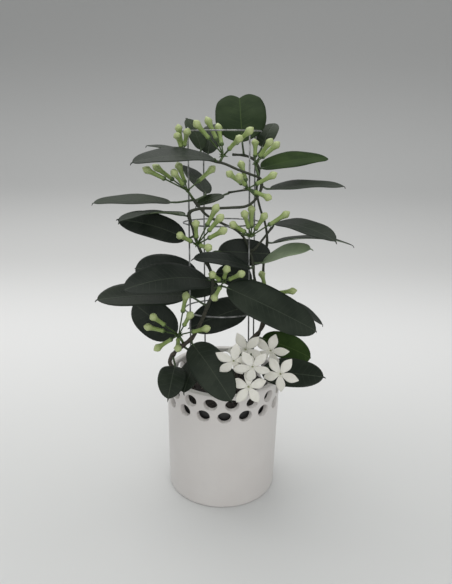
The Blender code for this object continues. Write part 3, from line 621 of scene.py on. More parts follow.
# Stems: three twining stems wound round the wires, woody at the foot and green above, with a
# swelling where each leaf stalk springs, and two short side shoots.
VINES = {
    "vine_left": (2.7, 1.4, [
        (-34, -14, 74), (-34, -14, 124), (-42, -17, 142), (-55, -21, 158),
        (-63, -29, 174), (-57, -36, 190), (-47, -39, 201), (-37, -39, 210), (-28, -36, 226),
        (-20, -32, 246), (-14, -27, 264), (-17, -23, 284), (-26, -23, 302), (-32, -24, 316),
        (-37, -23, 333), (-41, -22, 349), (-29, -25, 355), (-14, -27, 356), (3, -27, 357),
        (20, -23, 358), (31, -13, 364), (37, -5, 375), (35, -6, 385), (25, -11, 390),
        (10, -9, 395), (-4, -4, 400), (-20, 6, 402), (-33, 18, 403), (-36, 32, 402), (-31, 46, 398),
    ]),
    "vine_centre": (2.3, 1.4, [
        (14, 0, 74), (14, 0, 124), (16, 0, 150), (22, -2, 176), (34, -6, 197),
        (45, -6, 211), (48, -2, 228), (40, 0, 249), (33, -6, 271), (31, -9, 285), (28, -3, 299),
        (20, -2, 317), (10, -8, 328), (-3, -12, 335), (-21, -12, 344), (-31, -7, 353), (-37, -6, 361),
    ]),
    "vine_back": (2.1, 1.3, [
        (22, 28, 74), (22, 28, 124), (25, 30, 152), (42, 34, 181), (49, 40, 211),
        (47, 44, 245), (47, 46, 274), (50, 46, 298), (47, 42, 321), (39, 36, 344), (34, 28, 366),
        (36, 26, 387), (31, 28, 399), (20, 31, 404), (6, 38, 404),
    ]),
}
SHOOTS = {
    "shoot_upper": (1.2, "vine_left", [(33, -3, 369), (24, 7, 370), (2, 20, 364)]),
    "shoot_right": (1.3, "vine_centre", [(32, -5, 305), (42, -4, 318), (51, 1, 329)]),
}
ROUTE_STEPS = 8
TAPER_POWER = 2.5
SWELLING = 0.32
SWELLING_REACH = 3.5
SWELLING_NEAR = 30.0
WANDER_PACE = 0.09
WANDER_DEPTH = 0.08
SEAT_DEPTH = 0.4
BARK_GREY = (0.080, 0.068, 0.052, 1.0)
BARK_DARK = (0.026, 0.022, 0.015, 1.0)
STEM_GREEN = (0.022, 0.036, 0.014, 1.0)
GREENING_SPAN = (0.20, 0.27)
GREENING_DRIFT = 0.08
FISSURES = (320.0, 5.0)
FISSURE_SPAN = (0.35, 0.65)
BLOTCHES = (70.0, 3.0)
BARK_ROUGH = 0.82
GREEN_SMOOTHER = 0.25
BARK_RELIEF = 0.5

# Leaves, kept here because their feet say where the stems swell: foot of the blade, heading,
# rise, length, width, roll, arch and tone. Heading 0 is +X and 90 the back. Tone 0 is a dark
# old leaf and 1 a young one.
LEAVES = {
    "leaf_crown_front": ((16, 26, 420), 92, 34, 82, 58, -6, 0.05, 0.4),
    "leaf_crown_left": ((-30, 32, 410), 130, 52, 40, 24, 0, 0.07, 0.3),
    "leaf_crown_back": ((-22, 42, 404), 78, 42, 44, 27, 0, 0.10, 0.2),
    "leaf_crown_right": ((40, 50, 412), 62, 36, 40, 24, 0, 0.06, 0.3),
    "leaf_left_top": ((-15, -4, 405), 202, 0, 90, 38, -13, 0.06, 0.1),
    "leaf_left_top_back": ((-28, 55, 397), 154, 7, 76, 33, 3, 0.02, 0.2),
    "leaf_right_top": ((38, 20, 392), 26, 5, 88, 39, 13, 0.04, 0.7),
    "leaf_right_upper": ((48, 10, 371), 6, 2, 84, 37, 3, 0.03, 0.2),
    "leaf_right_middle": ((56, 5, 334), -46, -3, 82, 36, 6, 0.06, 0.1),
    "leaf_right_far": ((56, 45, 299), -3, 0, 96, 37, -10, 0.08, 0.1),
    "leaf_right_pale": ((41, -8, 291), -36, 24, 65, 29, 22, 0.07, 0.4),
    "leaf_centre_dark": ((-9, 2, 300), 6, -4, 61, 31, 70, 0.08, 0.0),
    "leaf_centre_pair": ((27, -20, 288), 200, 14, 68, 29, -14, 0.06, 0.0),
    "leaf_centre_behind": ((32, 20, 260), 201, 16, 48, 29, -60, 0.10, 0.0),
    "leaf_centre_low": ((27, 14, 229), 197, -16, 74, 39, -49, 0.07, 0.0),
    "leaf_right_big": ((1, -40, 271), -1, -26, 112, 49, 38, 0.02, 0.1),
    "leaf_right_behind": ((44, 26, 236), -12, -20, 80, 37, -3, 0.07, 0.1),
    "leaf_right_green": ((46, 10, 189), 15, -27, 73, 33, 59, 0.08, 0.8),
    "leaf_right_rim": ((45, -18, 160), -22, 5, 74, 37, 38, 0.01, 0.1),
    "leaf_left_upper": ((-62, -4, 357), 191, 1, 83, 36, -4, 0.03, 0.2),
    "leaf_left_grey": ((-48, -14, 345), 222, 4, 82, 38, 9, 0.07, 0.1),
    "leaf_left_dark": ((-45, -18, 320), 179, 15, 76, 32, -44, 0.09, 0.0),
    "leaf_left_big": ((-19, -31, 276), 215, 5, 104, 45, -25, 0.09, 0.0),
    "leaf_left_behind": ((-32, 6, 268), 158, -1, 82, 39, -60, 0.12, 0.0),
    "leaf_left_low": ((-46, -20, 254), 204, 5, 100, 43, -18, 0.03, 0.1),
    "leaf_left_inner": ((-8, 2, 258), 172, -12, 50, 22, -65, 0.05, 0.1),
    "leaf_left_umbel": ((-56, -28, 208), 147, 23, 66, 42, -59, 0.04, 0.0),
    "leaf_front_hanging": ((-36, -47, 206), -48, -34, 78, 40, 31, 0.10, 0.1),
    "leaf_rim_left": ((-56, -47, 178), 263, -24, 45, 31, -8, 0.14, 0.1),
    "leaf_rim_left_grey": ((-31, -38, 184), 250, -30, 46, 26, 10, 0.05, 0.1),
    "leaf_small_twisted": ((-4, 20, 361), 214, -12, 36, 17, -13, 0.03, 0.4),
    "leaf_small_back": ((-24, 5, 366), 113, 18, 66, 30, 19, 0.02, 0.2),
}


def smooth_route(points, per_span):
    """Points on a smooth curve through the given ones, per_span to each stretch."""
    ends = [Vector(points[0]) * 2 - Vector(points[1])]
    ends += [Vector(point) for point in points]
    ends.append(Vector(points[-1]) * 2 - Vector(points[-2]))
    route = []
    for index in range(1, len(ends) - 2):
        before, start, stop, after = ends[index - 1:index + 3]
        for step in range(per_span):
            t = step / per_span
            bend = 2 * before - 5 * start + 4 * stop - after
            twist = 3 * start - before - 3 * stop + after
            route.append(start + 0.5 * t * (stop - before + t * (bend + t * twist)))
    route.append(ends[-2])
    return route


def swollen(route, root_radius, end_radius):
    """Radii along a stem: they shrink towards its end and swell near the leaves' feet."""
    feet = [Vector(values[0]) for values in LEAVES.values()]
    seats = [min(route, key=lambda point: (point - foot).length) for foot in feet]
    seats = [seat for seat, foot in zip(seats, feet) if (seat - foot).length < SWELLING_NEAR]
    pairs = []
    for index, point in enumerate(route):
        left = (1.0 - index / (len(route) - 1)) ** TAPER_POWER
        radius = end_radius + (root_radius - end_radius) * left
        swell = sum(math.exp(-((point - seat).length / SWELLING_REACH) ** 2) for seat in seats)
        wander = noise.noise(point * WANDER_PACE) * WANDER_DEPTH
        pairs.append((point, radius * (1.0 + SWELLING * min(1.0, swell) + wander)))
    return pairs


def surface_of(mesh):
    """A search tree over the faces of a mesh."""
    corners = [corner.co for corner in mesh.vertices]
    return BVHTree.FromPolygons(corners, [face.vertices for face in mesh.polygons])


def seat_on(point, surfaces):
    """The point nearest to the given one on any of the stems, sunk a little into its bark."""
    found = [surface.find_nearest(point * MM) for surface in surfaces]
    seat = min(found, key=lambda each: each[3])[0] / MM
    return seat - (point - seat).normalized() * SEAT_DEPTH


bark = Finish("jasmine_stem")
height = bark.add("ShaderNodeSeparateXYZ", {}, {0: bark.place()}, "Z")
fissures = bark.noise(FISSURES)
drift = (bark.noise(BLOTCHES) - 0.5) * GREENING_DRIFT
wood = bark.mix(bark.rise(fissures, FISSURE_SPAN), BARK_DARK, BARK_GREY)
greening = bark.rise(height + drift, GREENING_SPAN)
bark.feed("Base Color", bark.mix(greening, wood, bark.mix(fissures, STEM_GREEN, BARK_DARK)))
bark.feed("Roughness", BARK_ROUGH - greening * GREEN_SMOOTHER)
bark.bump(fissures, BARK_RELIEF)

stem_surfaces = {}
for name, (root_radius, end_radius, points) in VINES.items():
    route = [Vector(points[0])] + smooth_route(points[1:], ROUTE_STEPS)
    stem = shown(name + "_bark", drawn_tube(swollen(route, root_radius, end_radius), 4), bark.material)
    stem_surfaces[name] = surface_of(stem.data)
    settled(stem, "bark" if name == "vine_left" else "green_stem", name)
for name, (radius, parent, points) in SHOOTS.items():
    start = seat_on(Vector(points[0]), [stem_surfaces[parent]])
    route = smooth_route([start] + points, ROUTE_STEPS)
    stem = shown(name + "_bark", drawn_tube(swollen(route, radius, radius), 3), bark.material)
    stem_surfaces[name] = surface_of(stem.data)
    settled(stem, "green_stem", name)
surfaces = list(stem_surfaces.values())

# Leaf blades: leathery with a soft gloss, dark green above and paler below, oval with a short
# hooked tip, folded up a little along a faint midrib that carries on from the stalk. Each grew
# from a stem on its own stalk.
BLADE_THICKNESS = 0.7
BLADE_ROWS = 20
BLADE_COLUMNS = 12
BLADE_FOLD = 0.12
MARGIN_TURN = -0.4
FOLD_SOFTNESS = 0.12
WIDEST_SHIFT = 0.92
BLADE_SQUARENESS = 2.3
BLADE_ROUNDNESS = 0.55
BASE_HALF_WIDTH = 0.9
TIP_HALF_WIDTH = 0.8
STALK_RADIUS = 1.15
STALK_PULL = 0.4
STALK_STEPS = 8
STALK_FLARE = 0.25
STALK_FLARE_BEND = 6
RIB_FOOT_RADIUS = 1.0
RIB_TIP_RADIUS = 0.25
RIB_DEPTH_BELOW = 0.2
RIB_ROWS = BLADE_ROWS - 6
RIB_ENTRY_ROWS = 4
HOOK_LENGTH = 4.0
HOOK_ACROSS = 3.0
HOOK_DROP = 1.3
HOOK_TAPER = 0.35
WAVES = 2.5
WAVE_HEIGHT = 0.016
WAVE_STEP = 1.7
WAVE_OFFSET = 2.0
VEIN_SPACING = 7.0
VEIN_SLANT = 0.5
VEIN_SPAN = (0.86, 1.0)
VEIN_END_SPAN = (8.0, 20.0)
VEIN_SINK = 0.35
RIB_SPAN = (0.25, 0.75)
RIB_SHARE = 0.55
RIB_SINK = 0.5
RIB_SMOOTHER = 0.04
MOTTLE = (38.0, 4.0)
MOTTLE_SPAN = (0.3, 0.75)
MOTTLE_ROUGH = 0.1
SKIN_PUCKER = (60.0, 2.0)
PUCKER_SHARE = 1.2
SKIN_GRAIN = (500.0, 2.0)
GRAIN_SHARE = 0.12
SKIN_RELIEF = 0.35
STALK_MOTTLE = (200.0, 3.0)
STALK_GRAIN = (600.0, 2.0)
STALK_RELIEF = 0.1
NOTCHED_LEAF = "leaf_crown_front"
PALE_SIDE_UP = "leaf_right_pale"
HEART_WIDEST = 0.6
HEART_SPREAD = 0.62
HEART_LENGTH = 0.9
HEART_BEND = 6
HEART_LOBES = 0.11
NOTCH_START = 0.12
LEAF_DEEP = (0.012, 0.017, 0.013, 1.0)
LEAF_DARK = (0.026, 0.032, 0.026, 1.0)
LEAF_YOUNG_DEEP = (0.022, 0.045, 0.010, 1.0)
LEAF_YOUNG = (0.043, 0.077, 0.018, 1.0)
RIB_DARK = (0.060, 0.075, 0.052, 1.0)
RIB_YOUNG = (0.060, 0.095, 0.030, 1.0)
RIB_UNDER = (0.210, 0.280, 0.160, 1.0)
STALK_PALE = (0.070, 0.110, 0.045, 1.0)
UNDER_DEEP = (0.150, 0.200, 0.120, 1.0)
UNDER_PALE = (0.240, 0.300, 0.190, 1.0)


def leaf_finish(name, colours, rib_colour, vein_share, gloss, rough):
    """The skin of one side of a leaf, with its midrib, side veins and mottling."""
    deep, plain, young_deep, young = colours
    skin = Finish(name, Specular_IOR_Level=gloss)
    along, across, tone = skin.mark("along"), skin.mark("across"), skin.mark("tone")
    mottle = skin.rise(skin.noise(MOTTLE), MOTTLE_SPAN)
    old = skin.mix(mottle, deep, plain)
    fresh = skin.mix(mottle, young_deep, young)
    rib = 1.0 - skin.rise(abs(across), RIB_SPAN)
    slanted = (along - abs(across) * VEIN_SLANT) / VEIN_SPACING
    beat = abs(slanted.math("FRACT") - 0.5) * 2.0
    veins = skin.rise(beat, VEIN_SPAN) * (1.0 - skin.rise(abs(across), VEIN_END_SPAN))
    veined = skin.mix(veins * vein_share, skin.mix(tone, old, fresh), rib_colour)
    skin.feed("Base Color", skin.mix(rib * RIB_SHARE, veined, rib_colour))
    skin.feed("Roughness", rough + mottle * MOTTLE_ROUGH - rib * RIB_SMOOTHER)
    relief = skin.noise(SKIN_GRAIN) * GRAIN_SHARE - veins * VEIN_SINK - rib * RIB_SINK
    skin.bump(relief + skin.noise(SKIN_PUCKER) * PUCKER_SHARE, SKIN_RELIEF)
    return skin.material


def blade_axes(heading, rise, roll):
    """The directions along a blade, to its left side and out of its face."""
    turn, lift, tilt = (math.radians(value) for value in (heading, rise, roll))
    along = Vector((math.cos(lift) * math.cos(turn), math.cos(lift) * math.sin(turn), math.sin(lift)))
    upright = (Vector((0.0, 0.0, 1.0)) - along * along.z).normalized()
    level = upright.cross(along)
    side = level * math.cos(tilt) + upright * math.sin(tilt)
    face = upright * math.cos(tilt) - level * math.sin(tilt)
    return along, side, face


def half_width(u, width):
    """Half the width of an oval blade at u, from 0 at its foot to 1 at its tip."""
    fullness = max(0.0, 1.0 - abs(2.0 * u ** WIDEST_SHIFT - 1.0) ** BLADE_SQUARENESS)
    return width / 2 * fullness ** BLADE_ROUNDNESS


def heart_half_width(u, width):
    """Half the width of the heart-shaped blade, which stays broad up to its tip."""
    if u < 0.5:
        return half_width(u, width)
    return width / 2 * math.sqrt(1.0 - ((u - HEART_WIDEST) / HEART_SPREAD) ** 2)


def blade_rows(foot, axes, length, width, arch, notched):
    """Rows of a blade up to its tip: middle, half width and how far the heart's lobes rise."""
    along, _, face = axes
    rows = []
    for step in range(BLADE_ROWS + 1):
        u = (1 - math.cos(math.pi * step / BLADE_ROWS)) / 2
        middle = foot + along * (u * length) + face * (4 * u * (1 - u) * arch * length)
        half = heart_half_width(u, width) if notched else half_width(u, width)
        least = BASE_HALF_WIDTH if u < 0.5 else TIP_HALF_WIDTH
        lobes = HEART_LOBES * length * u ** HEART_BEND if notched else 0.0
        rows.append((middle, max(half, least), lobes))
    if not notched:
        for step in (1, 2):
            droop = face * (HOOK_DROP * step / 2)
            tip = rows[BLADE_ROWS][0] + (along - droop).normalized() * (HOOK_LENGTH * step / 2)
            rows.append((tip, TIP_HALF_WIDTH * (1.0 - step * HOOK_TAPER), 0.0))
    return rows


def leaf_mesh(name, foot, axes, length, width, arch, tone, seed):
    """One blade with its thickness, and under it the stalk that runs on as the midrib."""
    along, side, face = axes
    notched = name == NOTCHED_LEAF
    if notched:
        length *= HEART_LENGTH
    rows = blade_rows(foot, axes, length, width, arch, notched)
    blade = bmesh.new()
    marks = {mark: blade.verts.layers.float.new(mark) for mark in ("along", "across", "tone")}
    bmesh.ops.create_grid(blade, x_segments=len(rows) - 1, y_segments=BLADE_COLUMNS, size=0.5)
    for corner in blade.verts:
        row = round((corner.co.x + 0.5) * (len(rows) - 1))
        across = corner.co.y * 2
        middle, half, lobes = rows[row]
        spread = math.sqrt(across * across + FOLD_SOFTNESS ** 2) - FOLD_SOFTNESS
        u = min(1.0, row / BLADE_ROWS)
        offset = seed * WAVE_STEP + (WAVE_OFFSET if across > 0 else 0.0)
        ripple = math.sin(math.tau * WAVES * u + offset)
        wave = ripple * WAVE_HEIGHT * width * across * across * math.sin(math.pi * u)
        place = middle + side * (half * across) + face * (half * BLADE_FOLD * spread + wave)
        from_notch = NOTCH_START + (1 - NOTCH_START) * abs(across)
        place += along * (lobes * math.sin(math.pi * from_notch))
        corner.co = place * MM
        corner[marks["along"]] = (middle - foot).dot(along)
        corner[marks["across"]] = half * across if row < BLADE_ROWS else HOOK_ACROSS
        corner[marks["tone"]] = tone
    bmesh.ops.recalc_face_normals(blade, faces=blade.faces)
    if sum((each.normal for each in blade.faces), Vector()).dot(face) < 0.0:
        bmesh.ops.reverse_faces(blade, faces=blade.faces)
    bmesh.ops.solidify(blade, geom=blade.faces[:], thickness=BLADE_THICKNESS * MM)
    bmesh.ops.recalc_face_normals(blade, faces=blade.faces)
    for each in blade.faces:
        each.material_index = 0 if each.normal.dot(face) > MARGIN_TURN else 1
    start = seat_on(foot, surfaces)
    reach = (foot - start).length
    entry = (along + face * 4 * arch).normalized()
    pull = start + (foot - start).normalized() * reach * STALK_PULL
    push = foot - entry * reach * STALK_PULL
    route = []
    for step in range(STALK_STEPS):
        t = step / STALK_STEPS
        leaving = start * (1 - t) ** 3 + pull * 3 * t * (1 - t) ** 2
        point = leaving + push * 3 * t * t * (1 - t) + foot * t ** 3
        route.append((point, STALK_RADIUS * (1.0 + STALK_FLARE * (1 - t) ** STALK_FLARE_BEND)))
    for row, (middle, _, _) in enumerate(rows[1:RIB_ROWS + 1]):
        radius = RIB_TIP_RADIUS + (RIB_FOOT_RADIUS - RIB_TIP_RADIUS) * (1.0 - row / BLADE_ROWS)
        sunk = (radius + RIB_DEPTH_BELOW) * min(1.0, (row + 1) / RIB_ENTRY_ROWS)
        route.append((middle - face * sunk, radius))
    stalk = drawn_tube(route, 2)
    for each in stalk.polygons:
        each.material_index = 2
    blade.from_mesh(stalk)
    bpy.data.meshes.remove(stalk)
    return mesh_of(blade, name)


above = (LEAF_DEEP, LEAF_DARK, LEAF_YOUNG_DEEP, LEAF_YOUNG)
below = (UNDER_DEEP, UNDER_PALE, UNDER_DEEP, UNDER_PALE)
upper_skin = leaf_finish(
    "leaf_upper_side", above, RIB_DARK, vein_share=0.2, gloss=0.18, rough=0.46)
young_skin = leaf_finish(
    "young_leaf_upper_side", above, RIB_YOUNG, vein_share=0.2, gloss=0.03, rough=0.55)
under_skin = leaf_finish(
    "leaf_under_side", below, RIB_UNDER, vein_share=0.3, gloss=0.22, rough=0.46)
stalk_green = Finish("leaf_stalk", Roughness=0.5)
mottle = stalk_green.noise(STALK_MOTTLE)
stalk_green.feed("Base Color", stalk_green.mix(mottle, STEM_GREEN, STALK_PALE))
stalk_green.bump(stalk_green.noise(STALK_GRAIN), STALK_RELIEF)

LEAF_SLOTS = {
    "leaf_crown_front": "young_leaf",
    "leaf_right_top": "young_leaf",
    "leaf_right_green": "young_leaf",
    "leaf_right_pale": "pale_leaf",
}
for seed, (name, (foot, heading, rise, length, width, roll, arch, tone)) in enumerate(LEAVES.items()):
    axes = blade_axes(heading, rise, roll)
    mesh = leaf_mesh(name, Vector(foot), axes, length, width, arch, tone, seed)
    skins = (young_skin if LEAF_SLOTS.get(name) == "young_leaf" else upper_skin, under_skin)
    if name == PALE_SIDE_UP:
        skins = (under_skin, upper_skin)
    leaf = shown(name + "_blade", mesh, *skins, stalk_green.material)
    settled(leaf, LEAF_SLOTS.get(name, "dark_leaf"), name)

# Bud umbels: waxy buds on slim stalks, each a long, slightly bent tube with a swollen pointed
# head above a small green calyx. The stalks of one umbel spring from one knob beside a stem,
# among small green scales.
UMBELS = {
    "buds_lower_left": ((-52, -38, 213), [
        (-29, -29, 36), (9, -14, 57), (15, -26, 38), (35, -28, 21), (-37, -22, 20), (-27, -20, -10),
        (0, -34, -4)]),
    "buds_middle_left": ((-32, -35, 318), [
        (-21, -20, 17), (-2, -12, 30), (22, -6, 46), (27, -20, 38), (31, -24, 24), (14, -32, 5)]),
    "buds_middle_front": ((-3, -33, 275), [
        (-15, -27, 19), (3, -26, 26), (22, -20, 18), (-12, -22, -14)]),
    "buds_upper_left": ((-43, -14, 372), [
        (-47, -12, 26), (-38, 8, 26), (-16, -22, 26), (-11, 12, 29), (30, 18, 24)]),
    "buds_top_left": ((-49, 16, 409), [(-8, -12, 22), (5, -14, 27), (-6, -1, 30)]),
    "buds_top_front": ((-5, 2, 408), [
        (-32, -18, 38), (-19, 8, 40), (-6, 22, 32), (18, -26, 24), (30, -20, 32)]),
    "buds_top_right": ((30, 8, 399), [(16, -16, 29), (27, 6, 23), (0, 6, 26)]),
    "buds_upper_right": ((22, -12, 375), [
        (-24, -4, 19), (-13, -24, 19), (-8, 16, 28), (30, -10, 19), (24, -20, -7)]),
    "buds_middle_right": ((27, -18, 324), [
        (-11, -20, 33), (0, 4, 34), (15, -8, 28), (41, -2, 28), (-25, -22, 20)]),
    "buds_behind_right": ((50, 16, 244), [(34, -12, 9), (-8, 4, 28)]),
}
BUD_LENGTH = 27.0
BUD_SHARE = 0.72
BUD_HEAD_RADIUS = 4.4
BUD_TUBE_RADIUS = 2.15
CALYX_RADIUS = 2.7
CALYX_LENGTH = 2.6
PEDICEL_RADIUS = 0.8
PEDUNCLE_RADIUS = 1.2
HUB_RADIUS = 2.2
BUD_SIDES = 12
CALYX = ((0.8, -0.4), (1.0, 1.0), (0.92, 2.4))
CALYX_START = 1.5
CALYX_LAP = 0.3
BUD_TUBE = ((1.02, 0.6), (1.15, 0.44))
BUD_HEAD = ((0.78, 0.31), (1.0, 0.22), (0.82, 0.13), (0.45, 0.06), (0.18, 0.015))
PEDICEL_ROUND = 0.2
PEDUNCLE_FLARE = 1.3
BRACTS = 6
BRACT_SIDES = 6
BRACT_LENGTH = 4.2
BRACT_RADIUS = 1.1
BRACT_RISES = (-0.5, 0.9)
BRACT_SEAT = 0.4
RIDGES = 5
RIDGE_START = 0.15
RIDGE_DEPTH = 0.09
RIDGE_TWIST = 4.0
BUD_BEND = 1.0
BUD_SHADES = (90.0, 3.0)
CALYX_SPAN = (0.02, 0.14)
RIPE_SPAN = (0.45, 0.95)
RIPE_DRIFT = 0.3
BUD_GRAIN = (700.0, 2.0)
BUD_RELIEF = 0.1
CALYX_GREEN = (0.060, 0.100, 0.028, 1.0)
BUD_GREEN = (0.230, 0.315, 0.095, 1.0)
BUD_RIPE = (0.405, 0.470, 0.215, 1.0)


def aimed(start, direction):
    """Where a thing made along +Z goes to start at a point and run along a direction."""
    turn = direction.to_track_quat("Z", "Y").to_matrix().to_4x4()
    return Matrix.Translation(Vector(start) * MM) @ turn


def add_bud(work, ripe, hub, tip):
    """Adds one bud on its stalk, and marks how far along the bud each corner lies."""
    reach = tip.length
    body = min(BUD_LENGTH, reach * BUD_SHARE)
    foot = reach - body
    profile = [(0.0, 0.0)]
    profile += [(PEDICEL_RADIUS, up) for up in (PEDICEL_ROUND, foot / 2, foot - CALYX_START)]
    profile += [(CALYX_RADIUS * wide, foot + up) for wide, up in CALYX]
    profile.append((BUD_TUBE_RADIUS, foot + CALYX_LENGTH + CALYX_LAP))
    profile += [(BUD_TUBE_RADIUS * wide, reach - body * left) for wide, left in BUD_TUBE]
    profile += [(BUD_HEAD_RADIUS * wide, reach - body * left) for wide, left in BUD_HEAD]
    profile.append((0.0, reach))
    corners = turned(work, profile, BUD_SIDES)
    for corner in corners:
        share = (corner.co.z / MM - foot) / body
        corner[ripe] = share
        if share > RIDGE_START:
            swing = math.atan2(corner.co.y, corner.co.x)
            corner.co.xy *= 1.0 + RIDGE_DEPTH * math.cos(RIDGES * swing + share * RIDGE_TWIST)
        corner.co.x += BUD_BEND * max(0.0, share) ** 2 * MM
    bmesh.ops.transform(work, matrix=aimed(hub, tip), verts=corners)


waxy = Finish("waxy_bud", Roughness=0.42, Subsurface_Weight=0.08, Subsurface_Scale=0.002,
              Subsurface_Radius=(0.6, 0.9, 0.3))
ripeness = waxy.mark("ripe")
drift = (waxy.noise(BUD_SHADES) - 0.5) * RIPE_DRIFT
green = waxy.mix(waxy.rise(ripeness, CALYX_SPAN), CALYX_GREEN, BUD_GREEN)
waxy.feed("Base Color", waxy.mix(waxy.rise(ripeness + drift, RIPE_SPAN), green, BUD_RIPE))
waxy.bump(waxy.noise(BUD_GRAIN), BUD_RELIEF)
for name, (hub, tips) in UMBELS.items():
    work = bmesh.new()
    ripe = work.verts.layers.float.new("ripe")
    hub = Vector(hub)
    bmesh.ops.create_icosphere(
        work, subdivisions=2, radius=HUB_RADIUS * MM, matrix=Matrix.Translation(hub * MM))
    for tip in tips:
        add_bud(work, ripe, hub, Vector(tip))
    for _ in range(BRACTS):
        swing = chance.uniform(0.0, math.tau)
        rise = chance.uniform(*BRACT_RISES)
        away = Vector((math.cos(swing), math.sin(swing), rise)).normalized()
        seat = hub + away * (HUB_RADIUS + BRACT_LENGTH * BRACT_SEAT)
        bmesh.ops.create_cone(
            work, cap_ends=True, segments=BRACT_SIDES, radius1=BRACT_RADIUS * MM, radius2=0.0,
            depth=BRACT_LENGTH * MM, matrix=aimed(seat, away))
    foot = (seat_on(hub, surfaces), PEDUNCLE_RADIUS * PEDUNCLE_FLARE)
    peduncle = drawn_tube([foot, (hub, PEDUNCLE_RADIUS)], 3)
    work.from_mesh(peduncle)
    bpy.data.meshes.remove(peduncle)
    umbel = shown(name + "_waxy", mesh_of(faced_out(work), name), waxy.material)
    settled(umbel, "bud_green", name)

# Open flowers: white waxy stars of five oval lobes, each on a tube shorter than the star is
# wide, with a small green calyx on a stalk. All spring from one knob low at the front.
FLOWER_HUB = Vector((35, -45, 178))
FLOWERS = [
    ((23, -49, 201), 267, -2, 46), ((51, -49, 200), 249, -6, 4), ((9, -85, 204), 271, -10, 11),
    ((29, -88, 199), 271, -12, 49), ((26, -82, 172), 281, 20, 13), ((61, -70, 182), 247, 8, 60),
]
FLOWER_RADIUS = 21.2
LOBES = 5
LOBE_START = 1.6
LOBE_HALF_WIDTH = 5.5
LOBE_THICKNESS = 0.9
LOBE_DROOP = 2.5
LOBE_FOOT = 0.14
LOBE_SKEW = 1.35
LOBE_ROUNDNESS = 0.95
LOBE_LEAST = 0.35
LOBE_CHANNEL = 0.55
LOBE_TWIST = 0.28
LOBE_RIPPLE = 0.3
LOBE_RIPPLE_PACE = 3.0
LOBE_SEAT = 0.35
LOBE_ROWS = 9
LOBE_COLUMNS = 6
FLOWER_TUBE = 17.0
FLOWER_SIDES = 20
THROAT = (
    (0.0, -2.6), (0.8, -2.4), (1.0, -0.6), (1.7, 0.25), (2.6, 0.5), (3.3, 0.1), (2.7, -1.0),
    (2.1, -4.0), (2.2, -9.0))
TUBE_FOOT = ((2.7, 3.0), (2.3, 0.0), (0.0, 0.0))
THROAT_DEPTH = 3.0
THROAT_RADIUS = 1.2
THROAT_MARK = -0.15
TUBE_MARK = 0.3
CUP = ((0.0, 1.6), (2.75, 2.2), (2.9, 1.2), (2.2, -0.8), (0.9, -2.0), (0.0, -2.0))
CUP_SIDES = 15
CUP_LAP = 0.5
STALK_BEND = 6.0
FLOWER_STALK_STEPS = 5
FLOWER_PEDUNCLE = 1.5
PETAL_RELIEF_AND_SHADE = (160.0, 3.0)
PAINTED_SHADE_SPAN = (0.3, 0.8)
PAINTED_SHADE_SHARE = 0.5
THROAT_SHADE_SPAN = (-0.10, 0.16)
PETAL_GRAIN = (900.0, 2.0)
PETAL_GRAIN_SHARE = 0.2
PETAL_RELIEF = 0.15
PETAL_WHITE = (0.77, 0.755, 0.70, 1.0)
PETAL_PAINTED_SHADE = (0.65, 0.64, 0.565, 1.0)
THROAT_GREEN_SHADE = (0.48, 0.50, 0.34, 1.0)


def add_lobe(work, out_mark, seed, turn):
    """Adds one oval lobe, channelled and bent a little back, that runs out from the throat."""
    before = set(work.verts)
    grid = bmesh.ops.create_grid(
        work, x_segments=LOBE_ROWS, y_segments=LOBE_COLUMNS, size=0.5)
    for corner in grid["verts"]:
        u = corner.co.x + 0.5
        v = corner.co.y * 2
        away = LOBE_START + (FLOWER_RADIUS - LOBE_START) * u
        grown = min(1.0, LOBE_FOOT + (1.0 - LOBE_FOOT) * u) ** LOBE_SKEW
        fullness = math.sin(math.pi * grown) ** LOBE_ROUNDNESS
        half = max(LOBE_LEAST, LOBE_HALF_WIDTH * fullness)
        droop = -LOBE_DROOP * (away / FLOWER_RADIUS) ** 2
        ripple = LOBE_RIPPLE * math.sin(seed + LOBE_RIPPLE_PACE * u)
        lift = (LOBE_CHANNEL * v * v + LOBE_TWIST * v + ripple) * math.sin(math.pi * u)
        corner.co = Vector((away, half * v, droop + lift + LOBE_SEAT)) * MM
        corner[out_mark] = u
    faces = {face for corner in grid["verts"] for face in corner.link_faces}
    bmesh.ops.solidify(work, geom=list(faces), thickness=LOBE_THICKNESS * MM)
    bmesh.ops.transform(work, matrix=Matrix.Rotation(turn, 4, "Z"), verts=added(work, before))


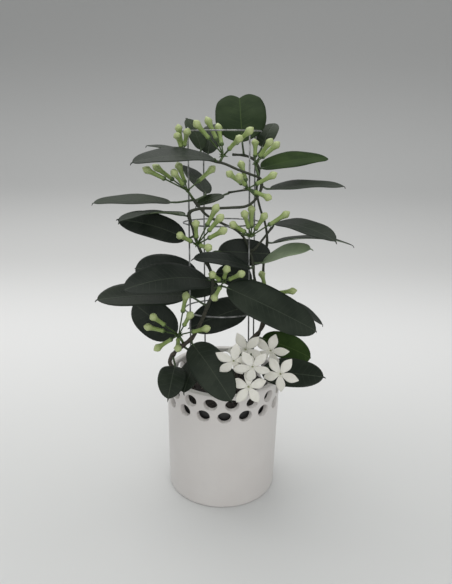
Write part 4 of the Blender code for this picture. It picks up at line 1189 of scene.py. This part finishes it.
petal = Finish("waxy_petal", Roughness=0.5, Subsurface_Weight=0.12, Subsurface_Scale=0.002,
               Subsurface_Radius=(1.0, 1.0, 0.8))
out = petal.mark("out")
relief_and_shade = petal.noise(PETAL_RELIEF_AND_SHADE)
# Patches of painted shade are mixed into the petals' white by the same noise that gives their relief.
white = petal.mix(petal.rise(relief_and_shade, PAINTED_SHADE_SPAN) * PAINTED_SHADE_SHARE, PETAL_WHITE, PETAL_PAINTED_SHADE)
# The throat and the feet of the lobes get a greenish painted shade.
petal.feed("Base Color", petal.mix(petal.rise(out, THROAT_SHADE_SPAN), THROAT_GREEN_SHADE, white))
petal.bump(relief_and_shade + petal.noise(PETAL_GRAIN) * PETAL_GRAIN_SHARE, PETAL_RELIEF)

stalks = bmesh.new()
foot = (seat_on(FLOWER_HUB, surfaces), FLOWER_PEDUNCLE)
stalk_pieces = [drawn_tube([foot, (FLOWER_HUB, PEDUNCLE_RADIUS)], 3)]
bmesh.ops.create_icosphere(
    stalks, subdivisions=2, radius=HUB_RADIUS * MM, matrix=Matrix.Translation(FLOWER_HUB * MM))
for index, (middle, heading, rise, spin) in enumerate(FLOWERS):
    facing = blade_axes(heading, rise, 0.0)[0]
    spun = Matrix.Rotation(math.radians(spin), 4, "Z")
    work = bmesh.new()
    out_mark = work.verts.layers.float.new("out")
    profile = [*THROAT, *((radius, up - FLOWER_TUBE) for radius, up in TUBE_FOOT)]
    for corner in turned(work, profile, FLOWER_SIDES):
        # Only the deep throat is marked to take the painted shade; the outside of the tube stays white.
        deep = corner.co.z > -THROAT_DEPTH * MM and corner.co.xy.length < THROAT_RADIUS * MM
        corner[out_mark] = THROAT_MARK if deep else TUBE_MARK
    for lobe in range(LOBES):
        add_lobe(work, out_mark, index * LOBES + lobe, math.tau * lobe / LOBES)
    bmesh.ops.transform(work, matrix=aimed(middle, facing) @ spun, verts=work.verts)
    flower = shown(f"flower_{index + 1}_star", mesh_of(faced_out(work), "flower"), petal.material)
    settled(flower, "petal_white", f"flower_{index + 1}")
    end = Vector(middle) - facing * (FLOWER_TUBE - CUP_LAP)
    bend = end - facing * STALK_BEND
    turned(stalks, CUP, CUP_SIDES, aimed(end, facing))
    route = smooth_route([FLOWER_HUB, bend, end], FLOWER_STALK_STEPS)
    stalk_pieces.append(drawn_tube([(point, PEDICEL_RADIUS) for point in route], 2))
for piece in stalk_pieces:
    stalks.from_mesh(piece)
    bpy.data.meshes.remove(piece)
stalks_mesh = mesh_of(faced_out(stalks), "flower_stalks")
flower_stalks = shown("flower_stalks_green", stalks_mesh, stalk_green.material)
settled(flower_stalks, "green_stem", "flower_stalks")
